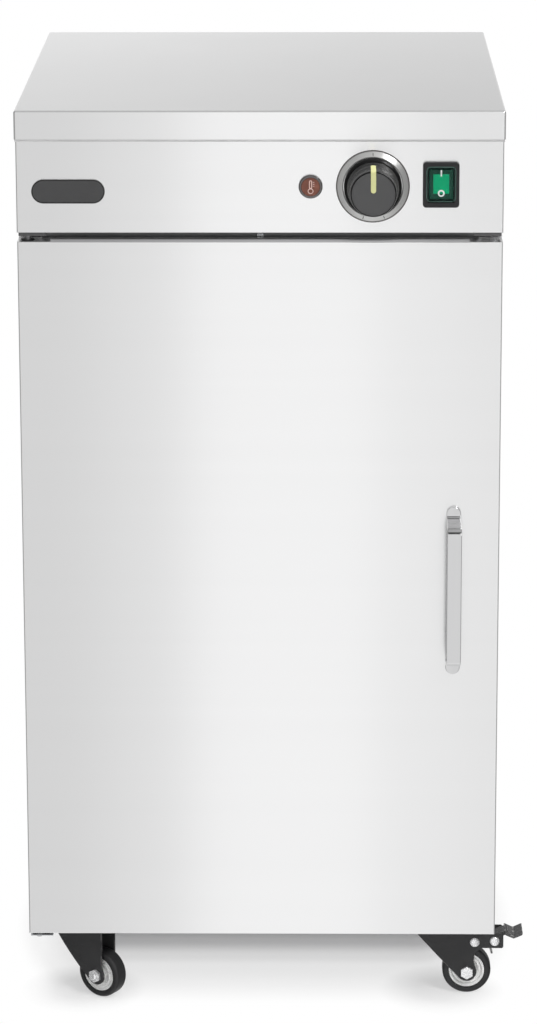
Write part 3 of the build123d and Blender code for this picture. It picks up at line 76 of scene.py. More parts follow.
# Node trees
class Graph:
    """Adds nodes to one tree and links them."""

    def __init__(self, tree: bpy.types.NodeTree) -> None:
        """Keeps the tree that the nodes go into."""
        self.tree = tree

    def feed(self, socket: Socket, value: object) -> None:
        """Links a socket, or sets a plain value on it."""
        if isinstance(value, bpy.types.NodeSocket):
            self.tree.links.new(value, socket)
        elif isinstance(value, tuple) and socket.type == "RGBA" and len(value) == 3:
            socket.default_value = (*value, 1.0)
        else:
            socket.default_value = value

    def add(self, kind: str, inputs: dict | None = None, **settings: object) -> bpy.types.Node:
        """Adds a node.

        Args:
            kind: the node's type, without its ShaderNode prefix.
            inputs: values or sockets for its inputs, by name or number.
            settings: properties of the node.

        Returns:
            The new node.
        """
        node = self.tree.nodes.new("ShaderNode" + kind)
        for key, value in settings.items():
            setattr(node, key, value)
        for key, value in (inputs or {}).items():
            self.feed(node.inputs[key], value)
        return node

    def math(self, operation: str, first: object, second: object = 0.0) -> Socket:
        """One sum on two values."""
        return self.add("Math", {0: first, 1: second}, operation=operation).outputs[0]

    def product(self, first: object, *others: object) -> Socket:
        """Values multiplied in order."""
        whole = first
        for other in others:
            whole = self.math("MULTIPLY", whole, other)
        return whole

    def vector(self, operation: str, first: object, second: Socket | Place = (0.0, 0.0, 0.0)) -> Socket:
        """One sum on two vectors, as a number where it is a length."""
        node = self.add("VectorMath", {0: first, 1: second}, operation=operation)
        return node.outputs["Value" if operation in ("LENGTH", "DISTANCE") else "Vector"]

    def span(self, value: object, start: float, end: float, low: object, high: object) -> Socket:
        """Maps a value from start..end to low..high, held at the ends."""
        inputs = {"Value": value, "From Min": start, "From Max": end, "To Min": low, "To Max": high}
        return self.add("MapRange", inputs).outputs["Result"]

    def share(self, value: object, start: float, end: float) -> Socket:
        """Maps a value from start..end to 0..1, held at the ends."""
        return self.span(value, start, end, 0.0, 1.0)

    def mix(self, factor: object, low: object, high: object) -> Socket:
        """Mixes two colours by a factor."""
        return self.add("Mix", {0: factor, 6: low, 7: high}, data_type="RGBA").outputs[2]

    def ramp(self, value: Socket, stops: Sequence[Point], start: float, end: float) -> Socket:
        """Grey level along a value.

        Args:
            value: the place along the ramp.
            stops: pairs of place and level, with places in the value's own unit.
            start: the value at the ramp's first end.
            end: the value at its other end.

        Returns:
            The level as a colour socket.
        """
        node = self.add("ValToRGB", {"Fac": self.share(value, start, end)})
        node.color_ramp.interpolation = "EASE"
        points = node.color_ramp.elements
        while len(points) < len(stops):
            points.new(1.0)
        for point, (where, level) in zip(points, stops):
            point.position = (where - start) / (end - start)
            point.color = (level, level, level, 1.0)
        return node.outputs["Color"]

    def coordinates(self, kind: str = "Object") -> Socket:
        """The surface's own coordinates."""
        return self.add("TexCoord").outputs[kind]

    def axes(self, kind: str = "Object") -> bpy.types.bpy_prop_collection:
        """X, Y and Z of the surface's own coordinates."""
        return self.add("SeparateXYZ", {0: self.coordinates(kind)}).outputs

    def to_world(self, direction: Socket | Place) -> Socket:
        """A direction of the object, turned with it."""
        turn = {"vector_type": "VECTOR", "convert_from": "OBJECT", "convert_to": "WORLD"}
        return self.add("VectorTransform", {"Vector": direction}, **turn).outputs[0]

    def light(self, kind: str, strength: Socket | float) -> Socket:
        """White light of a strength, from an Emission or a Background node."""
        return self.add(kind, {"Color": WHITE, "Strength": strength}).outputs[0]

    def blend(self, factor: Socket, first: Socket, second: Socket) -> Socket:
        """Mixes two shaders by a factor."""
        return self.add("MixShader", {0: factor, 1: first, 2: second}).outputs[0]

    def show(self, surface: Socket, output: str = "Material Output") -> None:
        """Links a shader to the tree's output."""
        self.feed(self.tree.nodes[output].inputs["Surface"], surface)


class Effect(Enum):
    """Surface effects that several finishes share."""

    PATCHES = "handling_patches"
    SKIN = "moulded_skin"
    STREAKS = "brushed_streaks"
    RINGS = "turned_rings"
    WEAR = "edge_wear"

    def tree(self) -> bpy.types.NodeTree:
        """The effect's node group, built the first time it is asked for."""
        made = bpy.data.node_groups.get(self.value)
        if made is None:
            made = bpy.data.node_groups.new(self.value, "ShaderNodeTree")
            EFFECT_MAKERS[self](made)
        return made

    def put(self, graph: Graph, **inputs: object) -> bpy.types.Node:
        """Places the effect in a material with its own values."""
        return graph.add("Group", inputs, node_tree=self.tree())


def open_group(tree: bpy.types.NodeTree, values: dict[str, float], outputs: Sequence[str]) -> tuple:
    """Gives a group its sockets.

    Args:
        tree: the empty group.
        values: its number inputs with their defaults; a Vector input comes first.
        outputs: names of its number outputs.

    Returns:
        The group's graph, the sockets of its input node and those of its output node.
    """
    tree.interface.new_socket("Vector", in_out="INPUT", socket_type="NodeSocketVector")
    for name, default in values.items():
        socket = tree.interface.new_socket(name, in_out="INPUT", socket_type="NodeSocketFloat")
        socket.default_value = default
    for name in outputs:
        tree.interface.new_socket(name, in_out="OUTPUT", socket_type="NodeSocketFloat")
    source, sink = tree.nodes.new("NodeGroupInput"), tree.nodes.new("NodeGroupOutput")
    return Graph(tree), source.outputs, sink.inputs


def make_patches(tree: bpy.types.NodeTree) -> None:
    """Soft uneven patches, as handling and wiping leave them."""
    graph, source, sink = open_group(tree, {"Scale": 9.0}, ["Mask"])
    inputs = {"Vector": source["Vector"], "Scale": source["Scale"], "Detail": 4.0, "Roughness": 0.6}
    cloud = graph.add("TexNoise", inputs)
    graph.feed(sink["Mask"], graph.share(cloud.outputs[0], 0.32, 0.68))


def make_skin(tree: bpy.types.NodeTree) -> None:
    """Fine pebbled skin of a moulded or painted surface."""
    graph, source, sink = open_group(tree, {"Scale": 900.0}, ["Height"])
    coarse = graph.math("MULTIPLY", source["Scale"], 0.45)
    grains = graph.add("TexNoise", {"Vector": source["Vector"], "Scale": source["Scale"], "Detail": 2.0})
    cells = graph.add("TexVoronoi", {"Vector": source["Vector"], "Scale": coarse}, feature="SMOOTH_F1")
    graph.feed(sink["Height"], graph.math("ADD", grains.outputs[0], cells.outputs["Distance"]))


def make_streaks(tree: bpy.types.NodeTree) -> None:
    """Brush lines, on a vector that is already stretched along the grain."""
    graph, source, sink = open_group(tree, {}, ["Fine", "Broad"])
    for name, scale, detail in (("Fine", 1.0, 3.0), ("Broad", 0.07, 2.0)):
        lines = graph.add("TexNoise", {"Vector": source["Vector"], "Scale": scale, "Detail": detail})
        graph.feed(sink[name], graph.share(lines.outputs[0], 0.3, 0.7))


def make_rings(tree: bpy.types.NodeTree) -> None:
    """Concentric tool marks about the Y axis of a centred vector."""
    graph, source, sink = open_group(tree, {"Scale": 1500.0}, ["Fine"])
    radius = graph.vector("LENGTH", graph.vector("MULTIPLY", source["Vector"], (1.0, 0.0, 1.0)))
    lines = graph.add("TexNoise", {"W": radius, "Scale": source["Scale"]}, noise_dimensions="1D")
    graph.feed(sink["Fine"], graph.share(lines.outputs[0], 0.3, 0.7))


def make_wear(tree: bpy.types.NodeTree) -> None:
    """Rubbed spots along marked edges."""
    graph, source, sink = open_group(tree, {"Edge": 0.0, "Scale": 160.0}, ["Mask"])
    spots = graph.add("TexNoise", {"Vector": source["Vector"], "Scale": source["Scale"], "Detail": 3.0})
    rubbed = graph.share(spots.outputs[0], 0.48, 0.62)
    graph.feed(sink["Mask"], graph.math("MULTIPLY", rubbed, source["Edge"]))


EFFECT_MAKERS: dict[Effect, Callable[[bpy.types.NodeTree], None]] = {
    Effect.PATCHES: make_patches,
    Effect.SKIN: make_skin,
    Effect.STREAKS: make_streaks,
    Effect.RINGS: make_rings,
    Effect.WEAR: make_wear,
}


def open_material(name: str) -> tuple[bpy.types.Material, Graph, bpy.types.Node]:
    """A new material, its graph and its Principled shader."""
    made = bpy.data.materials.new(name)
    made.use_nodes = True
    return made, Graph(made.node_tree), made.node_tree.nodes["Principled BSDF"]


# Finishes
class Grain(Enum):
    """Direction of the brush lines on a sheet, with a slight lean that settles folded edges."""

    ACROSS = (1.0, 0.0, 0.02)
    DEEP = (0.0, 1.0, 0.02)
    UPRIGHT = (0.0, 0.02, 1.0)


@dataclass(frozen=True)
class Finish:
    """A surface finish whose colour and gloss wander a little over the surface."""

    name: str
    colour: Colour
    metallic: float = 0.0
    roughness: float = 0.45
    shade: float = 0.10
    gloss: float = 0.08
    skin: float = 0.0
    skin_scale: float = 900.0
    skin_depth: float = 0.2
    patch_scale: float = 14.0
    sockets: tuple[tuple[str, float], ...] = ()

    def material(self) -> bpy.types.Material:
        """The finish as a material, made once."""
        title = "finish_" + self.name
        made = bpy.data.materials.get(title)
        if made is None:
            made, graph, shader = open_material(title)
            shader.inputs["Metallic"].default_value = self.metallic
            for socket, value in self.sockets:
                graph.feed(shader.inputs[socket], value)
            self.dress(graph, shader, graph.coordinates())
        return made

    def patches(self, graph: Graph, vector: Socket) -> Socket:
        """Mask of the uneven patches."""
        return Effect.PATCHES.put(graph, Vector=vector, Scale=self.patch_scale).outputs["Mask"]

    def tone(self, graph: Graph, mask: Socket) -> Socket:
        """The finish's colour, made darker and lighter along a mask."""
        dark = tuple(part * (1 - self.shade) for part in self.colour)
        light = tuple(min(1.0, part * (1 + self.shade)) for part in self.colour)
        return graph.mix(mask, dark, light)

    def roughen(self, graph: Graph, shader: bpy.types.Node, mask: Socket) -> None:
        """Links the gloss, which wanders along a mask."""
        low, high = self.roughness - self.gloss, self.roughness + self.gloss
        graph.feed(shader.inputs["Roughness"], graph.span(mask, 0.0, 1.0, low, high))

    def pebble(self, graph: Graph, vector: Socket) -> Socket:
        """Height of the pebbled skin."""
        return Effect.SKIN.put(graph, Vector=vector, Scale=self.skin_scale).outputs["Height"]

    def raise_skin(self, graph: Graph, shader: bpy.types.Node, height: Socket) -> None:
        """Feeds a height to the shader's normal."""
        bump = graph.add("Bump", {"Height": height, "Strength": self.skin, "Distance": self.skin_depth * MM})
        graph.feed(shader.inputs["Normal"], bump.outputs["Normal"])

    def dress(self, graph: Graph, shader: bpy.types.Node, vector: Socket) -> None:
        """Links the finish's colour, gloss and skin.

        Args:
            graph: the material's graph.
            shader: its Principled shader.
            vector: the object coordinates.
        """
        patches = self.patches(graph, vector)
        graph.feed(shader.inputs["Base Color"], self.tone(graph, patches))
        self.roughen(graph, shader, patches)
        if self.skin:
            self.raise_skin(graph, shader, self.pebble(graph, vector))


@dataclass(frozen=True)
class BrushedFinish(Finish):
    """Brushed sheet: lines along the grain, gloss smeared across it."""

    metallic: float = 1.0
    grain: Grain = Grain.ACROSS
    line_length: float = 9.0
    line_width: float = 1400.0
    patch_share: float = 1 / 3

    def dress(self, graph: Graph, shader: bpy.types.Node, vector: Socket) -> None:
        """Links streaks to colour and gloss, and turns the smear across the grain."""
        along = max(range(3), key=lambda axis: self.grain.value[axis])
        stretch = tuple(self.line_length if axis == along else self.line_width for axis in range(3))
        mapped = graph.add("Mapping", {"Vector": vector, "Scale": stretch}).outputs[0]
        streaks = Effect.STREAKS.put(graph, Vector=mapped).outputs
        graph.feed(shader.inputs["Base Color"], self.tone(graph, streaks["Broad"]))
        fine = graph.span(streaks["Fine"], 0.0, 1.0, -self.gloss, self.gloss)
        low, high = (self.roughness + side * self.gloss * self.patch_share for side in (-1, 1))
        worn = graph.span(self.patches(graph, vector), 0.0, 1.0, low, high)
        graph.feed(shader.inputs["Roughness"], graph.math("ADD", fine, worn))
        normal = graph.add("NewGeometry").outputs["Normal"]
        across = graph.vector("CROSS_PRODUCT", graph.to_world(self.grain.value), normal)
        graph.feed(shader.inputs["Tangent"], across)
        if self.skin:
            self.raise_skin(graph, shader, streaks["Fine"])


@dataclass(frozen=True)
class TurnedFinish(Finish):
    """Lathe-turned metal with rings about a point of the panel."""

    metallic: float = 1.0
    centre: Place = (0.0, 0.0, 0.0)

    def dress(self, graph: Graph, shader: bpy.types.Node, vector: Socket) -> None:
        """Links tool rings to colour and gloss, and smears the gloss along the radius."""
        away = graph.vector("SUBTRACT", vector, self.centre)
        rings = Effect.RINGS.put(graph, Vector=away).outputs["Fine"]
        graph.feed(shader.inputs["Base Color"], self.tone(graph, rings))
        self.roughen(graph, shader, rings)
        graph.feed(shader.inputs["Tangent"], graph.to_world(away))


@dataclass(frozen=True)
class WornFinish(Finish):
    """Painted metal that is rubbed bright in spots along its edges."""

    bare: Colour = (0.34, 0.33, 0.32)
    wear: float = 0.8

    def dress(self, graph: Graph, shader: bpy.types.Node, vector: Socket) -> None:
        """Links paint, bare spots and skin."""
        patches = self.patches(graph, vector)
        edge = graph.add("Attribute", attribute_name="edge").outputs["Fac"]
        rubbed = Effect.WEAR.put(graph, Vector=vector, Edge=edge).outputs["Mask"]
        bare = graph.math("MULTIPLY", rubbed, self.wear)
        graph.feed(shader.inputs["Base Color"], graph.mix(bare, self.tone(graph, patches), self.bare))
        graph.feed(shader.inputs["Metallic"], bare)
        self.roughen(graph, shader, patches)
        self.raise_skin(graph, shader, self.pebble(graph, vector))


SMEARED = (("Anisotropic", 0.8),)
HALF_SMEARED = (("Anisotropic", 0.4),)
DULL = (("Specular IOR Level", 0.25),)
MATT = (("Specular IOR Level", 0.15),)

# Metals
STEEL_ACROSS = BrushedFinish("steel_across", (0.88, 0.88, 0.882), roughness=0.25, shade=0.005, gloss=0.012,
                             sockets=SMEARED)
STEEL_DEEP = BrushedFinish("steel_deep", (0.86, 0.86, 0.865), roughness=0.27, shade=0.008, gloss=0.02,
                           grain=Grain.DEEP, sockets=SMEARED)
MILL_STEEL = BrushedFinish("mill_steel", (0.70, 0.70, 0.71), roughness=0.33, shade=0.03, gloss=0.05,
                           grain=Grain.UPRIGHT, sockets=HALF_SMEARED)
BRIGHT_STEEL = BrushedFinish("bright_steel", (0.7, 0.7, 0.705), roughness=0.1, shade=0.02, gloss=0.02,
                             grain=Grain.UPRIGHT, sockets=(("Anisotropic", 0.3),))
# Painted shade: a dark copy of brushed steel for the top rail, which lies in shade in the gap over the door
RAIL_SHADE_STEEL = BrushedFinish("rail_painted_shade", (0.26, 0.26, 0.265), roughness=0.4, shade=0.05, gloss=0.05,
                           sockets=HALF_SMEARED)
# Painted shade: a darker copy of the door's brushed steel for the fold that lies in the gap over the door
FOLD_SHADE_STEEL = BrushedFinish("fold_painted_shade", (0.42, 0.42, 0.425), roughness=0.3, shade=0.02, gloss=0.03,
                           sockets=(("Anisotropic", 0.5),))
RING_METAL = TurnedFinish("dial_metal", (0.61, 0.61, 0.6), roughness=0.36, gloss=0.05, shade=0.06,
                          centre=KNOB_CENTRE, sockets=(("Anisotropic", 0.85),))
CHROME_WIRE = Finish("chrome_wire", (0.78, 0.78, 0.80), metallic=1.0, roughness=0.14, gloss=0.05, shade=0.05)
ZINC = Finish("zinc", (0.72, 0.73, 0.75), metallic=1.0, roughness=0.26, gloss=0.09, shade=0.08,
              patch_scale=240.0)
BOLT = Finish("bolt_zinc", (0.90, 0.90, 0.91), metallic=0.7, roughness=0.26, gloss=0.06, shade=0.06,
              patch_scale=240.0)
PIN_STEEL = Finish("pin_steel", (0.20, 0.20, 0.205), metallic=1.0, roughness=0.4, shade=0.15,
                   patch_scale=200.0)
RIM_STEEL = Finish("rim_steel", (0.93, 0.93, 0.92), metallic=0.3, roughness=0.32, gloss=0.05, shade=0.06,
                   patch_scale=60.0)
BEZEL = Finish("lamp_bezel", (0.16, 0.15, 0.15), metallic=1.0, roughness=0.14, gloss=0.04)
SHEATH = Finish("element_sheath", (0.16, 0.14, 0.125), metallic=0.8, roughness=0.42, gloss=0.1, shade=0.3,
                patch_scale=30.0)
COPPER = Finish("copper", (0.60, 0.30, 0.17), metallic=1.0, roughness=0.3, gloss=0.1, shade=0.2)

# Paints
HINGE_STEEL = WornFinish("hinge_steel", (0.07, 0.07, 0.072), roughness=0.5, skin=0.7, skin_scale=1400.0,
                         wear=0.4)
FORK_PAINT = WornFinish("fork_paint", (0.036, 0.036, 0.037), roughness=0.36, skin=0.25, wear=0.45,
                        sockets=DULL)
PEDAL_PAINT = WornFinish("pedal_paint", (0.06, 0.06, 0.061), roughness=0.28, skin=0.25, wear=0.9,
                         bare=(0.62, 0.61, 0.6))
PRINT_WHITE = Finish("print_white", (0.95, 0.96, 0.95), roughness=0.5, shade=0.02)
POINTER = Finish("pointer_yellow", (0.58, 0.58, 0.27), roughness=0.45, shade=0.05)
SYMBOL_PINK = Finish("lamp_symbol", (0.66, 0.45, 0.40), roughness=0.5, shade=0.05)

# Plastics, rubber and wool
DARK_PLASTIC = Finish("dark_plastic", (0.018, 0.018, 0.019), roughness=0.38, skin=0.2, sockets=DULL)
PALE_PLASTIC = Finish("pale_plastic", (0.62, 0.60, 0.53), roughness=0.5, skin=0.2)
LENS_RED = Finish("lamp_lens", (0.17, 0.065, 0.045), roughness=0.16, gloss=0.03, shade=0.25,
                  patch_scale=110.0, sockets=DULL)
BOOT_CLEAR = Finish("boot_clear", (0.015, 0.06, 0.045), roughness=0.12, gloss=0.03,
                    sockets=(("Alpha", 0.1), ("Specular IOR Level", 0.2)))
BOOT_EDGE = Finish("boot_edge", (0.10, 0.19, 0.16), roughness=0.12, gloss=0.03, sockets=(("Alpha", 0.75),))
BADGE_DARK = Finish("badge_dark", (0.060, 0.060, 0.061), roughness=0.2, gloss=0.04, shade=0.05, sockets=DULL)
BADGE_RIM = Finish("badge_rim", (0.010, 0.010, 0.010), roughness=0.12, gloss=0.03, shade=0.06)
KNOB_BLACK = Finish("knob_black", (0.006, 0.006, 0.006), roughness=0.16, gloss=0.03, sockets=MATT)
KNOB_CAP = Finish("knob_cap", (0.070, 0.070, 0.071), roughness=0.42, gloss=0.05, shade=0.05, skin=0.08,
                  sockets=DULL)
ROCKER_DARK = Finish("rocker_dark", (0.004, 0.05, 0.03), roughness=0.3, shade=0.08, sockets=DULL)
ROCKER_LIT = Finish("rocker_lit", (0.001, 0.43, 0.185), roughness=0.35, shade=0.05, sockets=MATT)
TYRE_RUBBER = Finish("tyre_rubber", (0.013, 0.013, 0.014), roughness=0.5, shade=0.3, gloss=0.1, skin=0.4,
                     skin_scale=700.0, patch_scale=70.0)
SEAM = Finish("lid_seam", (0.55, 0.55, 0.55), roughness=0.6, skin=0.2, skin_scale=500.0)
SILICONE = Finish("silicone", (0.42, 0.42, 0.40), roughness=0.6, skin=0.2, skin_scale=500.0)
SLEEVE = Finish("wire_sleeve", (0.42, 0.38, 0.31), roughness=0.8, skin=0.6, skin_scale=1600.0)
WOOL = Finish("mineral_wool", (0.60, 0.53, 0.33), roughness=0.95, gloss=0.04, shade=0.25, skin=1.0,
              skin_scale=420.0, patch_scale=60.0)

NODE_FINISHES: dict[Finish, tuple[str, ...]] = {
    STEEL_ACROSS: ("top_lid", "control_panel", "door_outer_skin", "back_panel"),
    STEEL_DEEP: ("side_panel_left", "side_panel_right"),
    # the electrics deck and its top rail wear the painted-shade rail steel
    RAIL_SHADE_STEEL: ("electrics_deck",),
    MILL_STEEL: ("base_pan", "inner_liner", "door_inner_skin", "element_cover", "shelf_runners"),
    CHROME_WIRE: ("wire_shelves",),
    ZINC: ("castor_stems", "handle_screws", "element_clips", "thermostat_shaft"),
    PIN_STEEL: ("hinge_pins",),
    WOOL: ("insulation_slabs", "door_insulation"),
    SHEATH: ("heating_element",),
    DARK_PLASTIC: ("thermostat_body", "catch_magnet", "hinge_bushes"),
    PALE_PLASTIC: ("safety_cutout", "terminal_block"),
    COPPER: ("thermostat_sensor",),
    SLEEVE: ("wiring_loom",),
}


# Mesh building
class Shape:
    """One piece in the making, in millimetres, in a frame of its own."""

    def __init__(self) -> None:
        """Starts an empty mesh that can mark its worn edges."""
        self.bm = bmesh.new()
        self.edge_mark = self.bm.faces.layers.float.new("edge")

    def slab(self, low: Sequence[float], high: Sequence[float]) -> "Shape":
        """Adds a box between two corners."""
        size = Vector(high) - Vector(low)
        matrix = Matrix.Translation((Vector(high) + Vector(low)) / 2) @ Matrix.Diagonal((*size, 1.0))
        bmesh.ops.create_cube(self.bm, size=1.0, matrix=matrix)
        return self

    def turn(self, outline: Sequence[Point], steps: int) -> "Shape":
        """Turns an outline about Z.

        Args:
            outline: points of radius and height; a ring's outline ends on its first point.
            steps: facets round the axis.

        Returns:
            The shape itself.
        """
        old = set(self.bm.verts)
        ring = outline[0] == outline[-1]
        points = outline[: len(outline) - ring]
        verts = [self.bm.verts.new((radius, 0.0, height)) for radius, height in points]
        ends = verts[1:] + verts[:1] if ring else verts[1:]
        edges = [self.bm.edges.new(pair) for pair in zip(verts, ends)]
        bmesh.ops.spin(self.bm, geom=verts + edges, axis=(0, 0, 1), angle=math.tau, steps=steps,
                       use_merge=True)
        fresh = [vert for vert in self.bm.verts if vert not in old]
        bmesh.ops.remove_doubles(self.bm, verts=fresh, dist=MERGE)
        return self

    def rod(self, radius: float, half: float, steps: int) -> "Shape":
        """Adds a round rod about Z, as long above the origin as below."""
        return self.turn([(0, -half), (radius, -half), (radius, half), (0, half)], steps)

    def outline(self, points: Sequence[Point], rounding: float = 0.0, steps: int = 8) -> list:
        """Adds a flat face in XY.

        Args:
            points: its corners in order.
            rounding: length of edge that each rounded corner takes.
            steps: facets of a rounded corner.

        Returns:
            The face, in a list.
        """
        old = set(self.bm.faces)
        verts = [self.bm.verts.new((x, y, 0.0)) for x, y in points]
        self.bm.faces.new(verts).normal_update()
        if rounding:
            bmesh.ops.bevel(self.bm, geom=verts, offset=rounding, offset_type="OFFSET", segments=steps,
                            profile=0.5, affect="VERTICES", material=-1)
        return [face for face in self.bm.faces if face not in old]

    def prism(self, points: Sequence[Point], height: float, rounding: float = 0.0, steps: int = 8) -> "Shape":
        """Adds a solid that stands on an outline in XY, which is rounded as outline says."""
        self.pull(self.outline(points, rounding, steps), (0, 0, height))
        return self

    def loop(self, points: Sequence[Point], width: float, height: float, rounding: float = 0.0) -> "Shape":
        """Adds a closed border of a width that stands inside an outline in XY."""
        self.pull(self.hollow(self.outline(points, rounding), width), (0, 0, height))
        return self

    def pull(self, faces: list, offset: Sequence[float]) -> list:
        """Extrudes faces.

        Args:
            faces: what is pulled.
            offset: how far and which way.

        Returns:
            The faces at the new place.
        """
        made = bmesh.ops.extrude_face_region(self.bm, geom=faces)["geom"]
        moved = [item for item in made if isinstance(item, bmesh.types.BMVert)]
        bmesh.ops.translate(self.bm, vec=offset, verts=moved)
        return [item for item in made if isinstance(item, bmesh.types.BMFace)]

    def sink(self, faces: list, depth: float) -> None:
        """Presses faces of a closed shape down."""
        self.pull(faces, (0, 0, -depth))
        bmesh.ops.delete(self.bm, geom=faces, context="FACES")

    def inset(self, faces: list, width: float) -> list:
        """Insets faces by a width and returns the inner ones."""
        bmesh.ops.inset_region(self.bm, faces=faces, thickness=width, use_boundary=True, use_even_offset=True)
        return faces

    def hollow(self, faces: list, width: float) -> list:
        """Leaves only a border of a width of flat faces and returns it."""
        old = set(self.bm.faces) - set(faces)
        bmesh.ops.delete(self.bm, geom=self.inset(faces, width), context="FACES")
        return [face for face in self.bm.faces if face not in old]

    def cut(self, place: Sequence[float], normal: Sequence[float]) -> None:
        """Cuts edges and faces along a plane and keeps both sides."""
        whole = self.bm.verts[:] + self.bm.edges[:] + self.bm.faces[:]
        bmesh.ops.bisect_plane(self.bm, geom=whole, dist=CUT_REACH, plane_co=place, plane_no=normal)

    def soften(self, width: float, steps: int = 3, limit: float = 30.0,
               keep: EdgeTest | None = None) -> "Shape":
        """Rounds sharp edges and marks them as worn places.

        Args:
            width: how wide the rounding is.
            steps: its facets.
            limit: smallest angle, in degrees, that counts as sharp.
            keep: which edges to take, all when left out.

        Returns:
            The shape itself.
        """
        bmesh.ops.recalc_face_normals(self.bm, faces=self.bm.faces)
        sharp = math.radians(limit)
        edges = [edge for edge in self.bm.edges if edge.is_manifold and edge.calc_face_angle(0.0) > sharp]
        edges = [edge for edge in edges if keep is None or keep(edge)]
        made = bmesh.ops.bevel(self.bm, geom=edges, offset=width, offset_type="OFFSET", segments=steps,
                               profile=0.5, affect="EDGES", material=-1, clamp_overlap=True)
        for face in made["faces"]:
            face[self.edge_mark] = 1.0
        return self

    def move(self, matrix: Matrix) -> "Shape":
        """Moves the whole shape."""
        self.bm.transform(matrix)
        return self

    def join(self, *others: "Shape") -> "Shape":
        """Takes other shapes in and frees them."""
        for other in others:
            mesh = other.to_mesh("joined")
            self.bm.from_mesh(mesh)
            bpy.data.meshes.remove(mesh)
        self.edge_mark = self.bm.faces.layers.float["edge"]
        return self

    def to_mesh(self, name: str) -> bpy.types.Mesh:
        """The shape as a mesh, which uses it up."""
        mesh = bpy.data.meshes.new(name)
        self.bm.to_mesh(mesh)
        self.bm.free()
        return mesh


@dataclass(frozen=True)
class Fitting:
    """Where a finished piece goes: its body and the CAD nodes it stands for; its material slot name is not
    used.
    """

    body: str
    slot: str
    nodes: tuple[str, ...] = ()
    sharp: float = 32.0

    def fit(self, name: str, shape: Shape, finish: Finish, seat: Matrix) -> None:
        """Makes a shape an object of the scene that rides on its body.

        Args:
            name: the piece's name.
            shape: its mesh in millimetres.
            finish: its finish.
            seat: its place in the frame, in metres.
        """
        bmesh.ops.recalc_face_normals(shape.bm, faces=shape.bm.faces)
        mesh = shape.move(seat @ Matrix.Scale(MM, 4)).to_mesh(name)
        mesh.polygons.foreach_set("use_smooth", [True] * len(mesh.polygons))
        mesh.set_sharp_from_angle(angle=math.radians(self.sharp))
        mesh.materials.append(finish.material())
        piece = bpy.data.objects.new(name, mesh)
        bpy.context.scene.collection.objects.link(piece)
        piece.modifiers.new("even_shading", "WEIGHTED_NORMAL").keep_sharp = True
        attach(piece, self.body)
        if self.nodes:
            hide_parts(*self.nodes)
        LOG.info("piece %s: %d faces on %s", name, len(mesh.polygons), self.body)


def shift(x: float, y: float, z: float) -> Matrix:
    """A move along X, Y and Z."""
    return Matrix.Translation((x, y, z))


def turned_about(axis: str, degrees: float) -> Matrix:
    """A turn about X, Y or Z."""
    return Matrix.Rotation(math.radians(degrees), 4, axis)


def facing_front(x: float, y: float, z: float) -> Matrix:
    """A seat in metres whose local Z points out of the front and local Y up."""
    return shift(x, y, z) @ turned_about("X", 90)


def facing_back(x: float, y: float, z: float) -> Matrix:
    """A seat in metres whose local Z points out of the back and local Y up."""
    return shift(x, y, z) @ turned_about("Z", 180) @ turned_about("X", 90)


def node_middle(node: str) -> Vector:
    """The middle of a node's box, in metres."""
    low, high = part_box(node)
    return (low + high) / 2


def node_size(node: str) -> Vector:
    """The size of a node's box, in millimetres."""
    low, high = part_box(node)
    return (high - low) / MM


def node_copy(node: str) -> Shape:
    """A merged copy of a node's mesh, in metres."""
    shape = Shape()
    shape.bm.from_mesh(frame["nodes"][node].data)
    bmesh.ops.remove_doubles(shape.bm, verts=shape.bm.verts, dist=NODE_MERGE * MM)
    return shape


def panel_seat(node: str) -> Matrix:
    """A seat on the control panel's front face, before a node's middle."""
    middle = node_middle(node)
    return facing_front(middle.x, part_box("control_panel")[0].y, middle.z)


def above(height: float) -> EdgeTest:
    """A test for edges that lie above a height, or all but reach it."""
    return lambda edge: min(vert.co.z for vert in edge.verts) > height - NEAR


def corners(low: Point, high: Point) -> list[Point]:
    """Corners of a rectangle between two of them."""
    return [low, (high[0], low[1]), high, (low[0], high[1])]


def rectangle(width: float, height: float) -> list[Point]:
    """Corners of a rectangle about the origin."""
    return corners((-width / 2, -height / 2), (width / 2, height / 2))


def circle(radius: float, steps: int, start: float = 0.0) -> list[Point]:
    """Evenly spaced points on a circle, from a start angle in degrees."""
    angles = [math.radians(start) + math.tau * step / steps for step in range(steps)]
    return [(radius * math.cos(angle), radius * math.sin(angle)) for angle in angles]


def hexagon(across: float) -> list[Point]:
    """Corners of a hexagon of a width across its flats."""
    return circle(across / 2 / math.cos(math.pi / 6), 6, 30.0)


def arc(middle: Point, radii: Point, start: float, end: float, steps: int) -> list[Point]:
    """Evenly spaced points on an arc.

    Args:
        middle: its centre.
        radii: its radius along the first axis and along the second.
        start: its first angle, in degrees.
        end: its last angle.
        steps: how many facets it has.

    Returns:
        The points, with both ends.
    """
    angles = [math.radians(start + (end - start) * step / steps) for step in range(steps + 1)]
    return [(middle[0] + radii[0] * math.cos(angle), middle[1] + radii[1] * math.sin(angle))
            for angle in angles]


def below(points: Sequence[Point]) -> list[Point]:
    """Points mirrored to negative heights, in reverse order."""
    return [(radius, -height) for radius, height in reversed(points)]


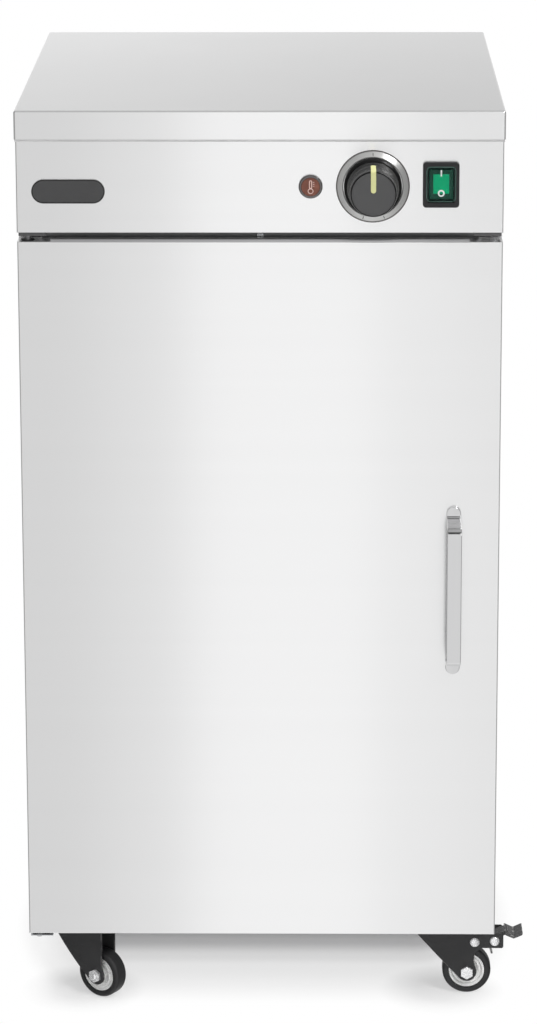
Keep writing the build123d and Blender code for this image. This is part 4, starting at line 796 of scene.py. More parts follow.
def ribbon(path: Sequence[Point], width: float, bend: float = 0.0) -> Shape:
    """A round-ended strip along a path.

    Args:
        path: points of height and reach, along local Y and Z.
        width: the strip's width, along X.
        bend: length that each rounded bend takes on both sides, none when 0.

    Returns:
        The open strip.
    """
    end_share, steps = 0.49, 10
    strip = Shape()
    verts = [strip.bm.verts.new((-width / 2, up, out)) for up, out in path]
    edges = [strip.bm.edges.new(pair) for pair in zip(verts, verts[1:])]
    made = bmesh.ops.extrude_edge_only(strip.bm, edges=edges)["geom"]
    far = [item for item in made if isinstance(item, bmesh.types.BMVert)]
    bmesh.ops.translate(strip.bm, vec=(width, 0, 0), verts=far)
    if bend:
        folds = [edge for edge in strip.bm.edges if edge.is_manifold]
        bmesh.ops.bevel(strip.bm, geom=folds, offset=bend, offset_type="OFFSET", segments=steps,
                        profile=0.5, affect="EDGES", material=-1)
    ends = [vert for vert in strip.bm.verts if len(vert.link_edges) == 2]
    bmesh.ops.bevel(strip.bm, geom=ends, offset=width * end_share, offset_type="OFFSET", segments=steps,
                    profile=0.5, affect="VERTICES", material=-1)
    return strip


def thicken(sheet: Shape, thickness: float) -> Shape:
    """Gives an open sheet its thickness, grown outwards, or inwards where it is negative.

    Args:
        sheet: the open surface.
        thickness: how far it grows.

    Returns:
        The same shape, closed.
    """
    bmesh.ops.recalc_face_normals(sheet.bm, faces=sheet.bm.faces)
    lean = sum((face.normal * face.calc_area() for face in sheet.bm.faces), Vector())
    if lean.dot(OUTWARD) < 0:
        bmesh.ops.reverse_faces(sheet.bm, faces=sheet.bm.faces)
    bmesh.ops.solidify(sheet.bm, geom=sheet.bm.faces[:], thickness=-thickness)
    return sheet


# Sub-assemblies
@dataclass
class DialKnob:
    """Thermostat knob with its cap and pointer, over a turned ring with three marks."""

    ring_outer: float = 33.1
    ring_inner: float = 26.6
    ring_height: float = 2.9
    ring_fall: float = 2.2
    ring_edge: float = 0.4
    rim_width: float = 1.0
    mark_angles: tuple[float, ...] = (0.0, 160.0, 197.0)
    mark_half: float = 0.28
    mark_start: float = 1.8
    mark_end: float = 2.0
    mark_depths: Point = (-0.8, -0.2)
    skirt_radius: float = 26.0
    skirt_height: float = 7.0
    lift: float = 1.1
    neck_radius: float = 23.9
    top_radius: float = 20.6
    height: float = 37.9
    groove_radius: float = 21.6
    groove_height: float = 24.0
    cap_radius: float = 19.4
    cap_depth: float = 1.0
    pointer_width: float = 4.6
    pointer_start: float = 1.2
    pointer_drop: float = 18.0
    pointer_clear: float = 0.15
    pointer_sheet: float = 0.35
    facets: int = 128

    def build(self) -> None:
        """Makes the ring, its rim and marks, and the knob with cap and pointer."""
        seat = panel_seat("dial_ring")
        trim = Fitting("cabinet", "dark_plastic")
        Fitting("cabinet", "satin_ring", ("dial_ring",)).fit("dial_ring_face", self.ring(), RING_METAL, seat)
        # the rim's dark finish is painted shade along the ring's outer wall
        trim.fit("dial_ring_shade_rim", self.rim(), BEZEL, seat)
        trim.fit("dial_marks", self.marks(), DARK_PLASTIC, seat)
        Fitting("thermostat_knob", "knob_black", ("knob",)).fit("knob_body", self.body(), KNOB_BLACK, seat)
        Fitting("thermostat_knob", "knob_black").fit("knob_cap", self.cap(), KNOB_CAP, seat)
        pointer = Fitting("thermostat_knob", "pointer_yellow", ("knob_pointer",))
        pointer.fit("knob_pointer_strip", self.pointer(), POINTER, seat)

    def ring(self) -> Shape:
        """The turned face, a little higher at its bore."""
        outer, inner, edge = self.ring_outer - self.rim_width, self.ring_inner, self.ring_edge
        top, low = self.ring_height, self.ring_height - self.ring_fall
        section = [
            (inner, 0.0), (outer, 0.0), (outer, low - edge), (outer - edge, low), (inner + 2 * edge, top),
            (inner + edge, top - edge / 4), (inner, top - edge), (inner, 0.0),
        ]
        return Shape().turn(section, self.facets)

    def rim(self) -> Shape:
        """The dark outer rim of the ring, whose dark colour is painted shade along the ring's outer wall."""
        outer, inner = self.ring_outer, self.ring_outer - self.rim_width
        top = self.ring_height - self.ring_fall
        section = [
            (inner, 0.0), (outer, 0.0), (outer, top - 0.6), (outer - 0.2, top - 0.25), (outer - 0.55, top),
            (inner, top), (inner, 0.0),
        ]
        return Shape().turn(section, self.facets)

    def marks(self) -> Shape:
        """Short dark bars inlaid in the ring."""
        start, end = self.ring_inner + self.mark_start, self.ring_outer - self.mark_end
        slope = self.ring_fall / (self.ring_outer - self.ring_inner - self.rim_width)
        lean = shift(0, start, self.ring_height) @ turned_about("X", -math.degrees(math.atan(slope)))
        low, high = self.mark_depths
        marks = Shape()
        for angle in self.mark_angles:
            bar = Shape().slab((-self.mark_half, 0.0, low), (self.mark_half, end - start, high)).move(lean)
            marks.join(bar.move(turned_about("Z", -angle)))
        return marks

    def body(self) -> Shape:
        """The black body: skirt, groove and tapered side."""
        skirt, neck, top, groove = self.skirt_radius, self.neck_radius, self.top_radius, self.groove_radius
        outline = [
            (0.0, self.lift), (skirt - 0.5, self.lift), (skirt, self.lift + 0.5),
            (skirt, self.skirt_height - 1.4), (skirt - 0.5, self.skirt_height - 0.5),
            (neck + 0.6, self.skirt_height), (neck, self.skirt_height + 0.5),
            (neck + 0.1, self.skirt_height + 1.6), (neck - 0.3, self.skirt_height + 5.0),
            (groove + 0.4, self.groove_height - 0.6), (groove, self.groove_height),
            (groove + 0.25, self.groove_height + 0.6), (top + 0.3, self.height - 3.0),
            (top, self.height - 1.6), (top - 0.35, self.height - 0.7),
            (self.cap_radius + 0.3, self.height - 0.1), (self.cap_radius + 0.1, self.height - 0.1),
            (self.cap_radius + 0.1, self.height - 0.6), (0.0, self.height - 0.6),
        ]
        return Shape().turn(outline, self.facets)

    def cap(self) -> Shape:
        """The grey disc let into the top, with a fine groove near its edge."""
        radius, top = self.cap_radius, self.height
        outline = [
            (0.0, top - self.cap_depth), (radius, top - self.cap_depth), (radius, top - 0.25),
            (radius - 0.25, top), (radius - 0.9, top), (radius - 1.05, top - 0.12), (radius - 1.2, top),
            (0.0, top),
        ]
        return Shape().turn(outline, self.facets)

    def pointer(self) -> Shape:
        """A strip from the cap's middle over its edge and down the side."""
        slope = (self.neck_radius - self.top_radius) / (self.height - self.skirt_height)
        low = self.top_radius + slope * self.pointer_drop
        path = [
            (self.pointer_start, self.height), (self.top_radius - 0.6, self.height),
            (self.top_radius + self.pointer_clear, self.height - 1.2),
            (low + self.pointer_clear, self.height - self.pointer_drop),
        ]
        return thicken(ribbon(path, self.pointer_width), self.pointer_sheet)


@dataclass
class PilotLamp:
    """Pilot lamp: dark bezel on a barrel, a domed lens and a thermometer sign on it."""

    bezel_radius: float = 10.8
    bezel_height: float = 3.0
    barrel_radius: float = 7.8
    barrel_depth: float = 24.0
    nut_radius: float = 10.5
    nut_height: float = 4.0
    nut_edge: float = 0.4
    sheet: float = 1.0
    lens_radius: float = 8.25
    lens_seat: float = 1.2
    lens_rim: float = 3.0
    lens_steps: int = 8
    crown: float = 1.2
    clear: float = 0.05
    line: float = 0.75
    stem_half: float = 1.35
    stem_low: float = -1.5
    stem_high: float = 6.2
    stem_round: float = 0.95
    bulb_radius: float = 2.6
    bulb_up: float = -3.6
    bulb_steps: int = 40
    tick_reach: Point = (1.95, 3.35)
    tick_lows: tuple[float, ...] = (0.6, 2.4, 4.2)
    tick_line: float = 0.5
    sign_lift: float = 0.06
    sign_sheet: float = 0.1
    sign_step: float = 1.0
    sign_cuts: int = 5
    facets: int = 96

    def build(self) -> None:
        """Makes the lamp's body, lens and sign."""
        seat = panel_seat("pilot_lamp_lens")
        body = Fitting("cabinet", "dark_plastic", ("pilot_lamp_body",))
        body.fit("lamp_bezel", self.bezel().join(self.nut()), BEZEL, seat)
        Fitting("cabinet", "red_lens", ("pilot_lamp_lens",)).fit("lamp_lens", self.lens(), LENS_RED, seat)
        Fitting("cabinet", "pale_plastic").fit("lamp_sign", self.sign(), SYMBOL_PINK, seat)

    def bezel(self) -> Shape:
        """Bezel ring with rounded lip, and the barrel behind the panel."""
        outer, top, bore = self.bezel_radius, self.bezel_height, self.lens_radius + self.clear
        outline = [
            (0.0, -self.barrel_depth), (self.barrel_radius, -self.barrel_depth), (self.barrel_radius, 0.0),
            (outer, 0.0), (outer, top - 1.3), (outer - 0.35, top - 0.5), (outer - 0.9, top),
            (bore + 0.7, top), (bore + 0.2, top - 0.25), (bore, top - 0.8), (bore, self.lens_seat),
            (0.0, self.lens_seat),
        ]
        return Shape().turn(outline, self.facets)

    def nut(self) -> Shape:
        """Hexagon nut behind the panel."""
        nut = Shape().prism(circle(self.nut_radius, 6), self.nut_height).soften(self.nut_edge, 2)
        return nut.move(shift(0, 0, -self.sheet - self.nut_height))

    def dome(self, radius: float) -> float:
        """Height of the lens at a distance from its axis."""
        return self.lens_rim + self.crown * (1 - (radius / self.lens_radius) ** 2)

    def lens(self) -> Shape:
        """Domed lens."""
        low = self.lens_seat + self.clear
        radii = [self.lens_radius * step / self.lens_steps for step in range(self.lens_steps, -1, -1)]
        crown = [(radius, self.dome(radius)) for radius in radii]
        return Shape().turn([(0.0, low), (self.lens_radius, low)] + crown, self.facets)

    def sign(self) -> Shape:
        """Outline of a thermometer, laid on the dome."""
        sign, bulb = Shape(), Shape()
        stem = corners((-self.stem_half, self.stem_low), (self.stem_half, self.stem_high))
        sign.hollow(sign.outline(stem, self.stem_half * self.stem_round, 6), self.line)
        bulb.hollow(bulb.outline(circle(self.bulb_radius, self.bulb_steps)), self.line)
        sign.join(bulb.move(shift(0, self.bulb_up, 0)))
        near, far = self.tick_reach
        for low in self.tick_lows:
            sign.outline(corners((near, low), (far, low + self.tick_line)))
        long = [edge for edge in sign.bm.edges if edge.calc_length() > self.sign_step]
        bmesh.ops.subdivide_edges(sign.bm, edges=long, cuts=self.sign_cuts)
        for vert in sign.bm.verts:
            vert.co.z = self.dome(vert.co.xy.length) + self.sign_lift
        return thicken(sign, self.sign_sheet)


@dataclass
class RockerSwitch:
    """Mains switch: frame, green rocker with its marks, and the clear boot over it."""

    width: float = 32.6
    length: float = 41.4
    out: float = 4.0
    corner: float = 3.0
    edge: float = 1.1
    border: float = 5.0
    well_depth: float = 6.0
    case_width: float = 27.0
    case_length: float = 37.0
    case_depth: float = 31.0
    case_wall: float = 2.2
    rocker_width: float = 21.4
    rocker_length: float = 26.6
    rocker_edge: float = 0.7
    tip: float = 4.2
    dip: float = 3.0
    root: float = -3.0
    pivot: float = -2.0
    tilt: float = 6.0
    pin_radius: float = 1.5
    pin_length: float = 1.4
    pin_facets: int = 32
    lit_width: float = 14.3
    lit_low: float = -8.2
    lit_high: float = 9.2
    lit_rise: float = 0.3
    lit_root: float = 1.0
    lit_edge: float = 0.25
    bar_up: float = 10.2
    bar_half: Point = (0.65, 2.9)
    ring_up: float = -7.9
    ring_radii: Point = (1.7, 3.1)
    mark_sheet: float = 0.15
    mark_sink: float = 0.05
    mark_facets: int = 40
    boot_width: float = 25.8
    boot_length: float = 31.4
    boot_rise: float = 0.8
    boot_bead: float = 0.7
    bead_round: float = 0.4
    boot_out: float = 3.2
    boot_corner: float = 4.0
    boot_edge: float = 1.4
    boot_wall: float = 0.8

    def build(self) -> None:
        """Makes the frame, the rocker with its lit block and marks, and the boot."""
        seat = panel_seat("switch_housing")
        lean = shift(0, 0, self.pivot) @ turned_about("X", -self.tilt) @ shift(0, 0, -self.pivot)
        housing = Fitting("cabinet", "dark_plastic", ("switch_housing",))
        housing.fit("switch_frame", self.surround(), DARK_PLASTIC, seat)
        paddle = Fitting("switch_rocker", "rocker_green", ("rocker",))
        paddle.fit("rocker_body", self.rocker().move(lean), ROCKER_DARK, seat)
        window = Fitting("switch_rocker", "rocker_green")
        window.fit("rocker_window", self.window().move(lean), ROCKER_LIT, seat)
        print_on = Fitting("switch_rocker", "pale_plastic")
        print_on.fit("rocker_marks", self.marks().move(lean), PRINT_WHITE, seat)
        Fitting("cabinet", "clear_boot", ("switch_boot",)).fit("boot_cover", self.boot(), BOOT_CLEAR, seat)
        Fitting("cabinet", "clear_boot").fit("boot_bead", self.bead(), BOOT_EDGE, seat)

    def surround(self) -> Shape:
        """Rounded frame with its well, and the case behind the panel."""
        shape = Shape().loop(rectangle(self.width, self.length), self.border, self.out)
        shape.soften(self.corner, 8, STEEP, self.on_corner)
        shape.soften(self.edge, 4, STEEP, above(self.out))
        case = Shape()
        back = case.outline(rectangle(self.case_width, self.case_length))
        well = case.inset(case.pull(back, (0, 0, self.case_depth)), self.case_wall)
        case.sink(well, self.well_depth)
        return shape.join(case.move(shift(0, 0, -self.case_depth)))

    def on_corner(self, edge: bmesh.types.BMEdge) -> bool:
        """Whether an edge stands at one of the frame's outer corners."""
        first, second = (vert.co for vert in edge.verts)
        return abs(first.z - second.z) > self.out / 2 and abs(first.x) > self.width / 2 - NEAR

    def side_view(self, outline: Sequence[Point], width: float) -> Shape:
        """Extrudes an outline of up and out points sideways, centred."""
        to_side = Matrix(((0, 0, 1, -width / 2), (1, 0, 0, 0), (0, 1, 0, 0), (0, 0, 0, 1)))
        return Shape().prism(outline, width).move(to_side)

    def level(self, up: float) -> float:
        """Height of the rocker's face at a distance from its middle."""
        return self.dip + (self.tip - self.dip) * abs(up) / (self.rocker_length / 2)

    def rocker(self) -> Shape:
        """The paddle with its pivot pins."""
        half = self.rocker_length / 2
        outline = [(-half, self.root), (half, self.root), (half, self.tip), (0, self.dip), (-half, self.tip)]
        paddle = self.side_view(outline, self.rocker_width).soften(self.rocker_edge)
        pin = Shape().rod(self.pin_radius, self.rocker_width / 2 + self.pin_length, self.pin_facets)
        return paddle.join(pin.move(shift(0, 0, self.pivot) @ turned_about("Y", 90)))

    def window(self) -> Shape:
        """The lit block in the middle of the face, over both slopes."""
        low, high, rise, root = self.lit_low, self.lit_high, self.lit_rise, self.dip - self.lit_root
        top = [(high, self.level(high) + rise), (0, self.dip + rise), (low, self.level(low) + rise)]
        return self.side_view([(low, root), (high, root)] + top, self.lit_width).soften(self.lit_edge, 2)

    def marks(self) -> Shape:
        """The bar at the upper end and the ring at the lower end."""
        (half, reach), (inner, outer), sheet = self.bar_half, self.ring_radii, self.mark_sheet
        bar = Shape().slab((-half, -reach, 0), (half, reach, sheet)).move(self.on_face(self.bar_up))
        ring = Shape().turn(corners((inner, 0), (outer, sheet)) + [(inner, 0)], self.mark_facets)
        return bar.join(ring.move(self.on_face(self.ring_up)))

    def on_face(self, up: float) -> Matrix:
        """A seat on the sloping face at a distance from its middle."""
        slope = math.degrees(math.atan2(self.tip - self.dip, self.rocker_length / 2))
        rise = self.level(up) + self.lit_rise - self.mark_sink
        return shift(0, up, rise) @ turned_about("X", math.copysign(slope, up))

    def boot(self) -> Shape:
        """Thin clear cover with soft edges, open at the back."""
        size = rectangle(self.boot_width, self.boot_length)
        shape = Shape().prism(size, self.boot_out, self.boot_corner)
        shape.soften(self.boot_edge, 5, STEEP, above(self.boot_out))
        floor = [item for item in shape.bm.faces if item.calc_center_median().z < NEAR]
        bmesh.ops.delete(shape.bm, geom=floor, context="FACES")
        return thicken(shape, -self.boot_wall).move(shift(0, self.boot_rise, self.out))

    def bead(self) -> Shape:
        """Thicker edge of the boot where it lies on the frame."""
        bead = self.boot_bead
        size = rectangle(self.boot_width + bead, self.boot_length + bead)
        shape = Shape().loop(size, bead, bead, self.boot_corner).soften(bead * self.bead_round, 3, STEEP)
        return shape.move(shift(0, self.boot_rise, self.out - NEAR))


@dataclass
class BadgePlate:
    """Blank name plate: a dark pill with a raised rim."""

    length: float = 66.0
    width: float = 21.8
    height: float = 1.2
    rim: float = 1.1
    rim_edge: float = 0.35
    dome: float = 0.5
    dome_round: float = 0.85
    clear: float = 0.05
    end_share: float = 0.4999
    end_steps: int = 20

    def build(self) -> None:
        """Makes the rim and the domed field inside it."""
        seat = panel_seat("badge_plate")
        Fitting("cabinet", "badge_black", ("badge_plate",)).fit("badge_rim", self.plate(), BADGE_RIM, seat)
        Fitting("cabinet", "badge_black").fit("badge_field", self.cast_field(), BADGE_DARK, seat)

    def pill(self, inset: float, height: float) -> tuple[Shape, list]:
        """A pill set in from the plate's edge, as a shape and its top face."""
        length, width = self.length - 2 * inset, self.width - 2 * inset
        shape = Shape()
        face = shape.outline(rectangle(length, width), width * self.end_share, self.end_steps)
        return shape, shape.pull(face, (0, 0, height))

    def plate(self) -> Shape:
        """The plate with its rounded rim and sunk middle."""
        shape, top = self.pill(0.0, self.height)
        shape.sink(shape.inset(top, self.rim), self.dome)
        return shape.soften(self.rim_edge, 3, STEEP, above(self.height))

    def cast_field(self) -> Shape:
        """The cast field that lies in the rim, with a rounded edge."""
        shape = self.pill(self.rim + self.clear, self.dome)[0]
        shape.soften(self.dome * self.dome_round, 4, STEEP, above(2 * NEAR))
        return shape.move(shift(0, 0, self.height - self.dome))


@dataclass
class DoorHandle:
    """Flat strip handle: round-ended feet on the door and a bar that stands clear of it."""

    sheet: float = 3.5
    foot: float = 12.2
    ramp: float = 6.4
    bend: float = 5.2
    edge: float = 0.8

    def build(self) -> None:
        """Makes the strip to the length, width and reach that the frame gives it."""
        middle, size = node_middle("door_handle"), node_size("door_handle")
        half, reach = size.z / 2, size.y - self.sheet
        side = [(half, 0.0), (half - self.foot, 0.0), (half - self.foot - self.ramp, reach)]
        path = side + [(-up, out) for up, out in reversed(side)]
        strip = thicken(ribbon(path, size.x, self.bend), self.sheet).soften(self.edge)
        seat = facing_front(middle.x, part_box("door_handle")[1].y, middle.z)
        Fitting("door", "polished_steel", ("door_handle",)).fit("handle_strip", strip, BRIGHT_STEEL, seat)


@dataclass
class DoorFold:
    """Rounded fold along the door's top front edge, between the two hinge plates."""

    radius: float = 2.7
    half_length: float = 188.5
    sink: float = 0.2
    steps: int = 8

    def build(self) -> None:
        """Makes the fold as one extruded strip."""
        low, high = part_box("door_outer_skin")
        radius, half = self.radius, self.half_length
        outline = arc((0.0, 0.0), (radius, radius), 180.0, 90.0, self.steps)
        outline += [(radius, radius), (radius, -self.sink), (-radius, -self.sink)]
        along = Matrix(((0, 0, 1, -half), (1, 0, 0, radius), (0, 1, 0, 0), (0, 0, 0, 1)))
        strip = Shape().prism(outline, 2 * half).move(along)
        seat = shift((low.x + high.x) / 2, low.y, high.z)
        # the fold's darker steel is painted shade for the gap it sits in
        Fitting("door", "brushed_steel").fit("door_top_fold", strip, FOLD_SHADE_STEEL, seat)


@dataclass
class LidSeam:
    """Thin sealing bead in the step under the lid's lip, all round the cabinet."""

    bead: float = 2.2
    inset: float = 0.6
    depth: float = 0.9
    edge: float = 0.3

    def build(self) -> None:
        """Makes the bead as one loop."""
        middle, size = node_middle("top_lid"), node_size("top_lid")
        outside = rectangle(size.x - 2 * self.inset, size.y - 2 * self.inset)
        shape = Shape().loop(outside, self.depth, self.bead).soften(self.edge, 2)
        seat = shift(middle.x, middle.y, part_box("top_lid")[0].z - self.bead * MM)
        Fitting("cabinet", "silicone").fit("lid_seam", shape, SEAM, seat)


@dataclass
class ScrewSet:
    """The cabinet's pan-head screws with cross recesses, and the castor nuts, where the CAD has them."""

    node: str = "cabinet_fasteners"
    head_radius: float = 3.4
    head_height: float = 1.8
    crown_share: float = 0.72
    wide_share: float = 0.95
    shank_radius: float = 1.6
    shank_edge: float = 0.4
    cross_half: float = 0.45
    cross_reach: float = 1.9
    cross_depth: float = 0.9
    nut_size: float = 12.0
    nut_edge: float = 0.8
    gap_rise: float = 0.4
    gap_shank: float = 5.0
    gap_turn: float = 45.0
    facets: int = 32

    def build(self) -> None:
        """Makes all the fasteners as one piece, and the screw that shows in the gap over the door."""
        everything = Shape()
        for points in self.islands():
            everything.join(self.fastener(points))
        Fitting("cabinet", "zinc_steel", (self.node,)).fit("cabinet_screws", everything, ZINC, Matrix())
        rail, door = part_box("electrics_deck")[0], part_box("door_outer_skin")[1]
        seat = facing_front(0.0, rail.y, door.z + self.gap_rise * MM)
        screw = self.screw(self.gap_shank).move(turned_about("Z", self.gap_turn))
        Fitting("cabinet", "zinc_steel").fit("rail_screw", screw, ZINC, seat)

    def islands(self) -> list[list[Vector]]:
        """Groups of joined points of the node, in millimetres."""
        copy = node_copy(self.node)
        waiting = dict.fromkeys(copy.bm.verts)
        groups = []
        while waiting:
            reached = [waiting.popitem()[0]]
            for vert in reached:
                near = [edge.other_vert(vert) for edge in vert.link_edges]
                fresh = [other for other in near if other in waiting]
                for other in fresh:
                    del waiting[other]
                reached.extend(fresh)
            groups.append([vert.co / MM for vert in reached])
        copy.bm.free()
        return groups

    def fastener(self, points: list[Vector]) -> Shape:
        """A screw or nut, in place, that fills the box of one group of points."""
        low, high = Vector(map(min, *points)), Vector(map(max, *points))
        size, middle = high - low, (low + high) / 2
        if max(size) > self.nut_size:
            nut = Shape().prism(hexagon(size.x), size.z).soften(self.nut_edge)
            return nut.move(shift(middle.x, middle.y, low.z))
        axis = max(range(3), key=lambda index: abs(size[index] - 2 * self.head_radius))
        limit = self.head_radius * self.wide_share
        wide = [point for point in points if self.off_axis(point - middle, axis) > limit]
        head_side = sum(point[axis] for point in wide) / len(wide) - middle[axis]
        outward = Vector([math.copysign(1.0, head_side) if index == axis else 0.0 for index in range(3)])
        seat = middle + outward * (size[axis] / 2 - self.head_height)
        turn = outward.to_track_quat("Z", "Y").to_matrix().to_4x4()
        return self.screw(size[axis] - self.head_height).move(Matrix.Translation(seat) @ turn)

    def off_axis(self, offset: Vector, axis: int) -> float:
        """Distance of a point from an axis line."""
        return math.sqrt(sum(offset[index] ** 2 for index in range(3) if index != axis))

    def screw(self, shank: float) -> Shape:
        """A pan-head screw with its seat at the origin and its head towards Z."""
        radius, height, reach, half = self.head_radius, self.head_height, self.cross_reach, self.cross_half
        head = Shape()
        head.outline(circle(radius * self.crown_share, self.facets))
        for limit in (-reach, -half, half, reach):
            for normal in ((1, 0, 0), (0, 1, 0)):
                head.cut(Vector(normal) * limit, normal)
        cross = []
        for face in head.bm.faces:
            across = sorted(abs(part) for part in face.calc_center_median().xy)
            if across[0] < half and across[1] < reach:
                cross.append(face)
        head.sink(cross, self.cross_depth)
        side = [
            (radius * self.crown_share, height), (radius * 0.9, height * 0.85), (radius, height * 0.5),
            (radius, 0.0), (self.shank_radius, 0.0), (self.shank_radius, self.shank_edge - shank),
            (self.shank_radius - self.shank_edge, -shank), (0.0, -shank),
        ]
        return head.move(shift(0, 0, height)).join(Shape().turn(side, self.facets))


@dataclass
class HingePlates:
    """Hinge plates: dark ones in the gap over the door, and a thin bright tongue under its corner."""

    node: str = "hinge_plates"
    tongue: float = 0.9
    step: float = 1.5

    def build(self) -> None:
        """Makes the upper plates and the lower one from the frame's own plates."""
        upper = Fitting("cabinet", "dark_steel", (self.node,))
        upper.fit("hinge_plates_upper", self.plates(True), HINGE_STEEL, Matrix())
        lower = self.plates(False)
        self.thin(lower)
        Fitting("cabinet", "zinc_steel").fit("hinge_plate_lower", lower, ZINC, Matrix())

    def plates(self, upper: bool) -> Shape:
        """A copy of the plates above or below the cabinet's middle."""
        shape = node_copy(self.node)
        middle = node_middle(self.node).z
        others = [vert for vert in shape.bm.verts if (vert.co.z > middle) != upper]
        bmesh.ops.delete(shape.bm, geom=others, context="VERTS")
        return shape.move(Matrix.Scale(1 / MM, 4))

    def thin(self, plate: Shape) -> None:
        """Thins a plate in front of the frame, where it reaches under the door."""
        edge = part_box("electrics_deck")[0].y / MM
        for place in (edge - self.step, edge):
            plate.cut((0, place, 0), (0, 1, 0))
        floor = max(vert.co.z for vert in plate.bm.verts) - self.tongue
        for vert in plate.bm.verts:
            if vert.co.y < edge - self.step / 2:
                vert.co.z = max(vert.co.z, floor)


@dataclass
class CableGland:
    """Cable gland at the back: hexagon, ribbed cap with a rounded nose, and its nut inside."""

    across: float = 24.0
    collar_length: float = 7.0
    collar_edge: float = 0.6
    collar_limit: float = 40.0
    cap_radius: float = 11.0
    cap_length: float = 18.0
    nose_length: float = 8.0
    nose_radius: float = 8.0
    bore: float = 4.25
    seal_wall: float = 1.2
    thread_radius: float = 9.5
    inside: float = 10.0
    nut_length: float = 5.0
    sheet: float = 1.0
    ribs: int = 20
    rib_half: float = 0.7
    rib_depth: float = 1.4
    rib_ends: Point = (0.8, 2.0)
    rib_edge: float = 0.3
    facets: int = 64
    seal_facets: int = 48

    def build(self) -> None:
        """Makes the gland in one piece and its rubber seal in another."""
        middle = node_middle("cable_gland")
        seat = facing_back(middle.x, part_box("back_panel")[1].y, middle.z)
        nut = self.collar(-self.sheet - self.nut_length, self.nut_length)
        body = self.body().join(self.collar(0.0, self.collar_length), nut, self.grip())
        Fitting("cabinet", "dark_plastic", ("cable_gland",)).fit("gland_body", body, DARK_PLASTIC, seat)
        Fitting("cabinet", "tyre").fit("gland_seal", self.seal(), TYRE_RUBBER, seat)

    def body(self) -> Shape:
        """Thread, cap and nose round the bore."""
        base, wall = self.collar_length, self.bore + self.seal_wall
        cap, tip = base + self.cap_length, base + self.cap_length + self.nose_length
        section = [
            (wall, -self.inside), (self.thread_radius, -self.inside), (self.thread_radius, base),
            (self.cap_radius - 0.7, base), (self.cap_radius - 0.7, cap - 1.0),
            (self.cap_radius - 1.2, cap + 1.0), (self.nose_radius + 0.9, tip - 2.2),
            (self.nose_radius, tip - 0.8), (self.nose_radius - 0.9, tip), (wall, tip), (wall, -self.inside),
        ]
        return Shape().turn(section, self.facets)

    def collar(self, low: float, length: float) -> Shape:
        """A hexagon with broken corners and the thread's hole."""
        ring = Shape().loop(hexagon(self.across), self.across / 2 - self.thread_radius, length)
        return ring.soften(self.collar_edge, 2, self.collar_limit).move(shift(0, 0, low))

    def grip(self) -> Shape:
        """Ribs along the cap."""
        base, radius, half, ribs = self.collar_length, self.cap_radius, self.rib_half, Shape()
        low, high = base + self.rib_ends[0], base + self.cap_length - self.rib_ends[1]
        for step in range(self.ribs):
            rib = Shape().slab((-half, radius - self.rib_depth, low), (half, radius, high))
            ribs.join(rib.soften(self.rib_edge, 2).move(turned_about("Z", 360 * step / self.ribs)))
        return ribs

    def seal(self) -> Shape:
        """Rubber sleeve in the bore."""
        tip = self.collar_length + self.cap_length + self.nose_length
        inner, outer = self.bore, self.bore + self.seal_wall
        section = [
            (inner, -self.inside), (outer, -self.inside), (outer, tip - 0.6), (outer - 0.6, tip - 0.2),
            (inner + 0.2, tip - 0.6), (inner, tip - 1.4), (inner, -self.inside),
        ]
        return Shape().turn(section, self.seal_facets)


@dataclass
class DoorSeal:
    """Rounded silicone bead round the door's inner face."""

    width: float = 8.0
    round_share: float = 0.42

    def build(self) -> None:
        """Makes the bead as one mitred loop."""
        middle, size = node_middle("door_gasket"), node_size("door_gasket")
        shape = Shape().loop(rectangle(size.x, size.z), self.width, size.y)
        shape.soften(min(self.width, size.y) * self.round_share, 5, STEEP, above(size.y))
        seat = facing_back(middle.x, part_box("door_gasket")[0].y, middle.z)
        Fitting("door", "silicone", ("door_gasket",)).fit("gasket_bead", shape, SILICONE, seat)


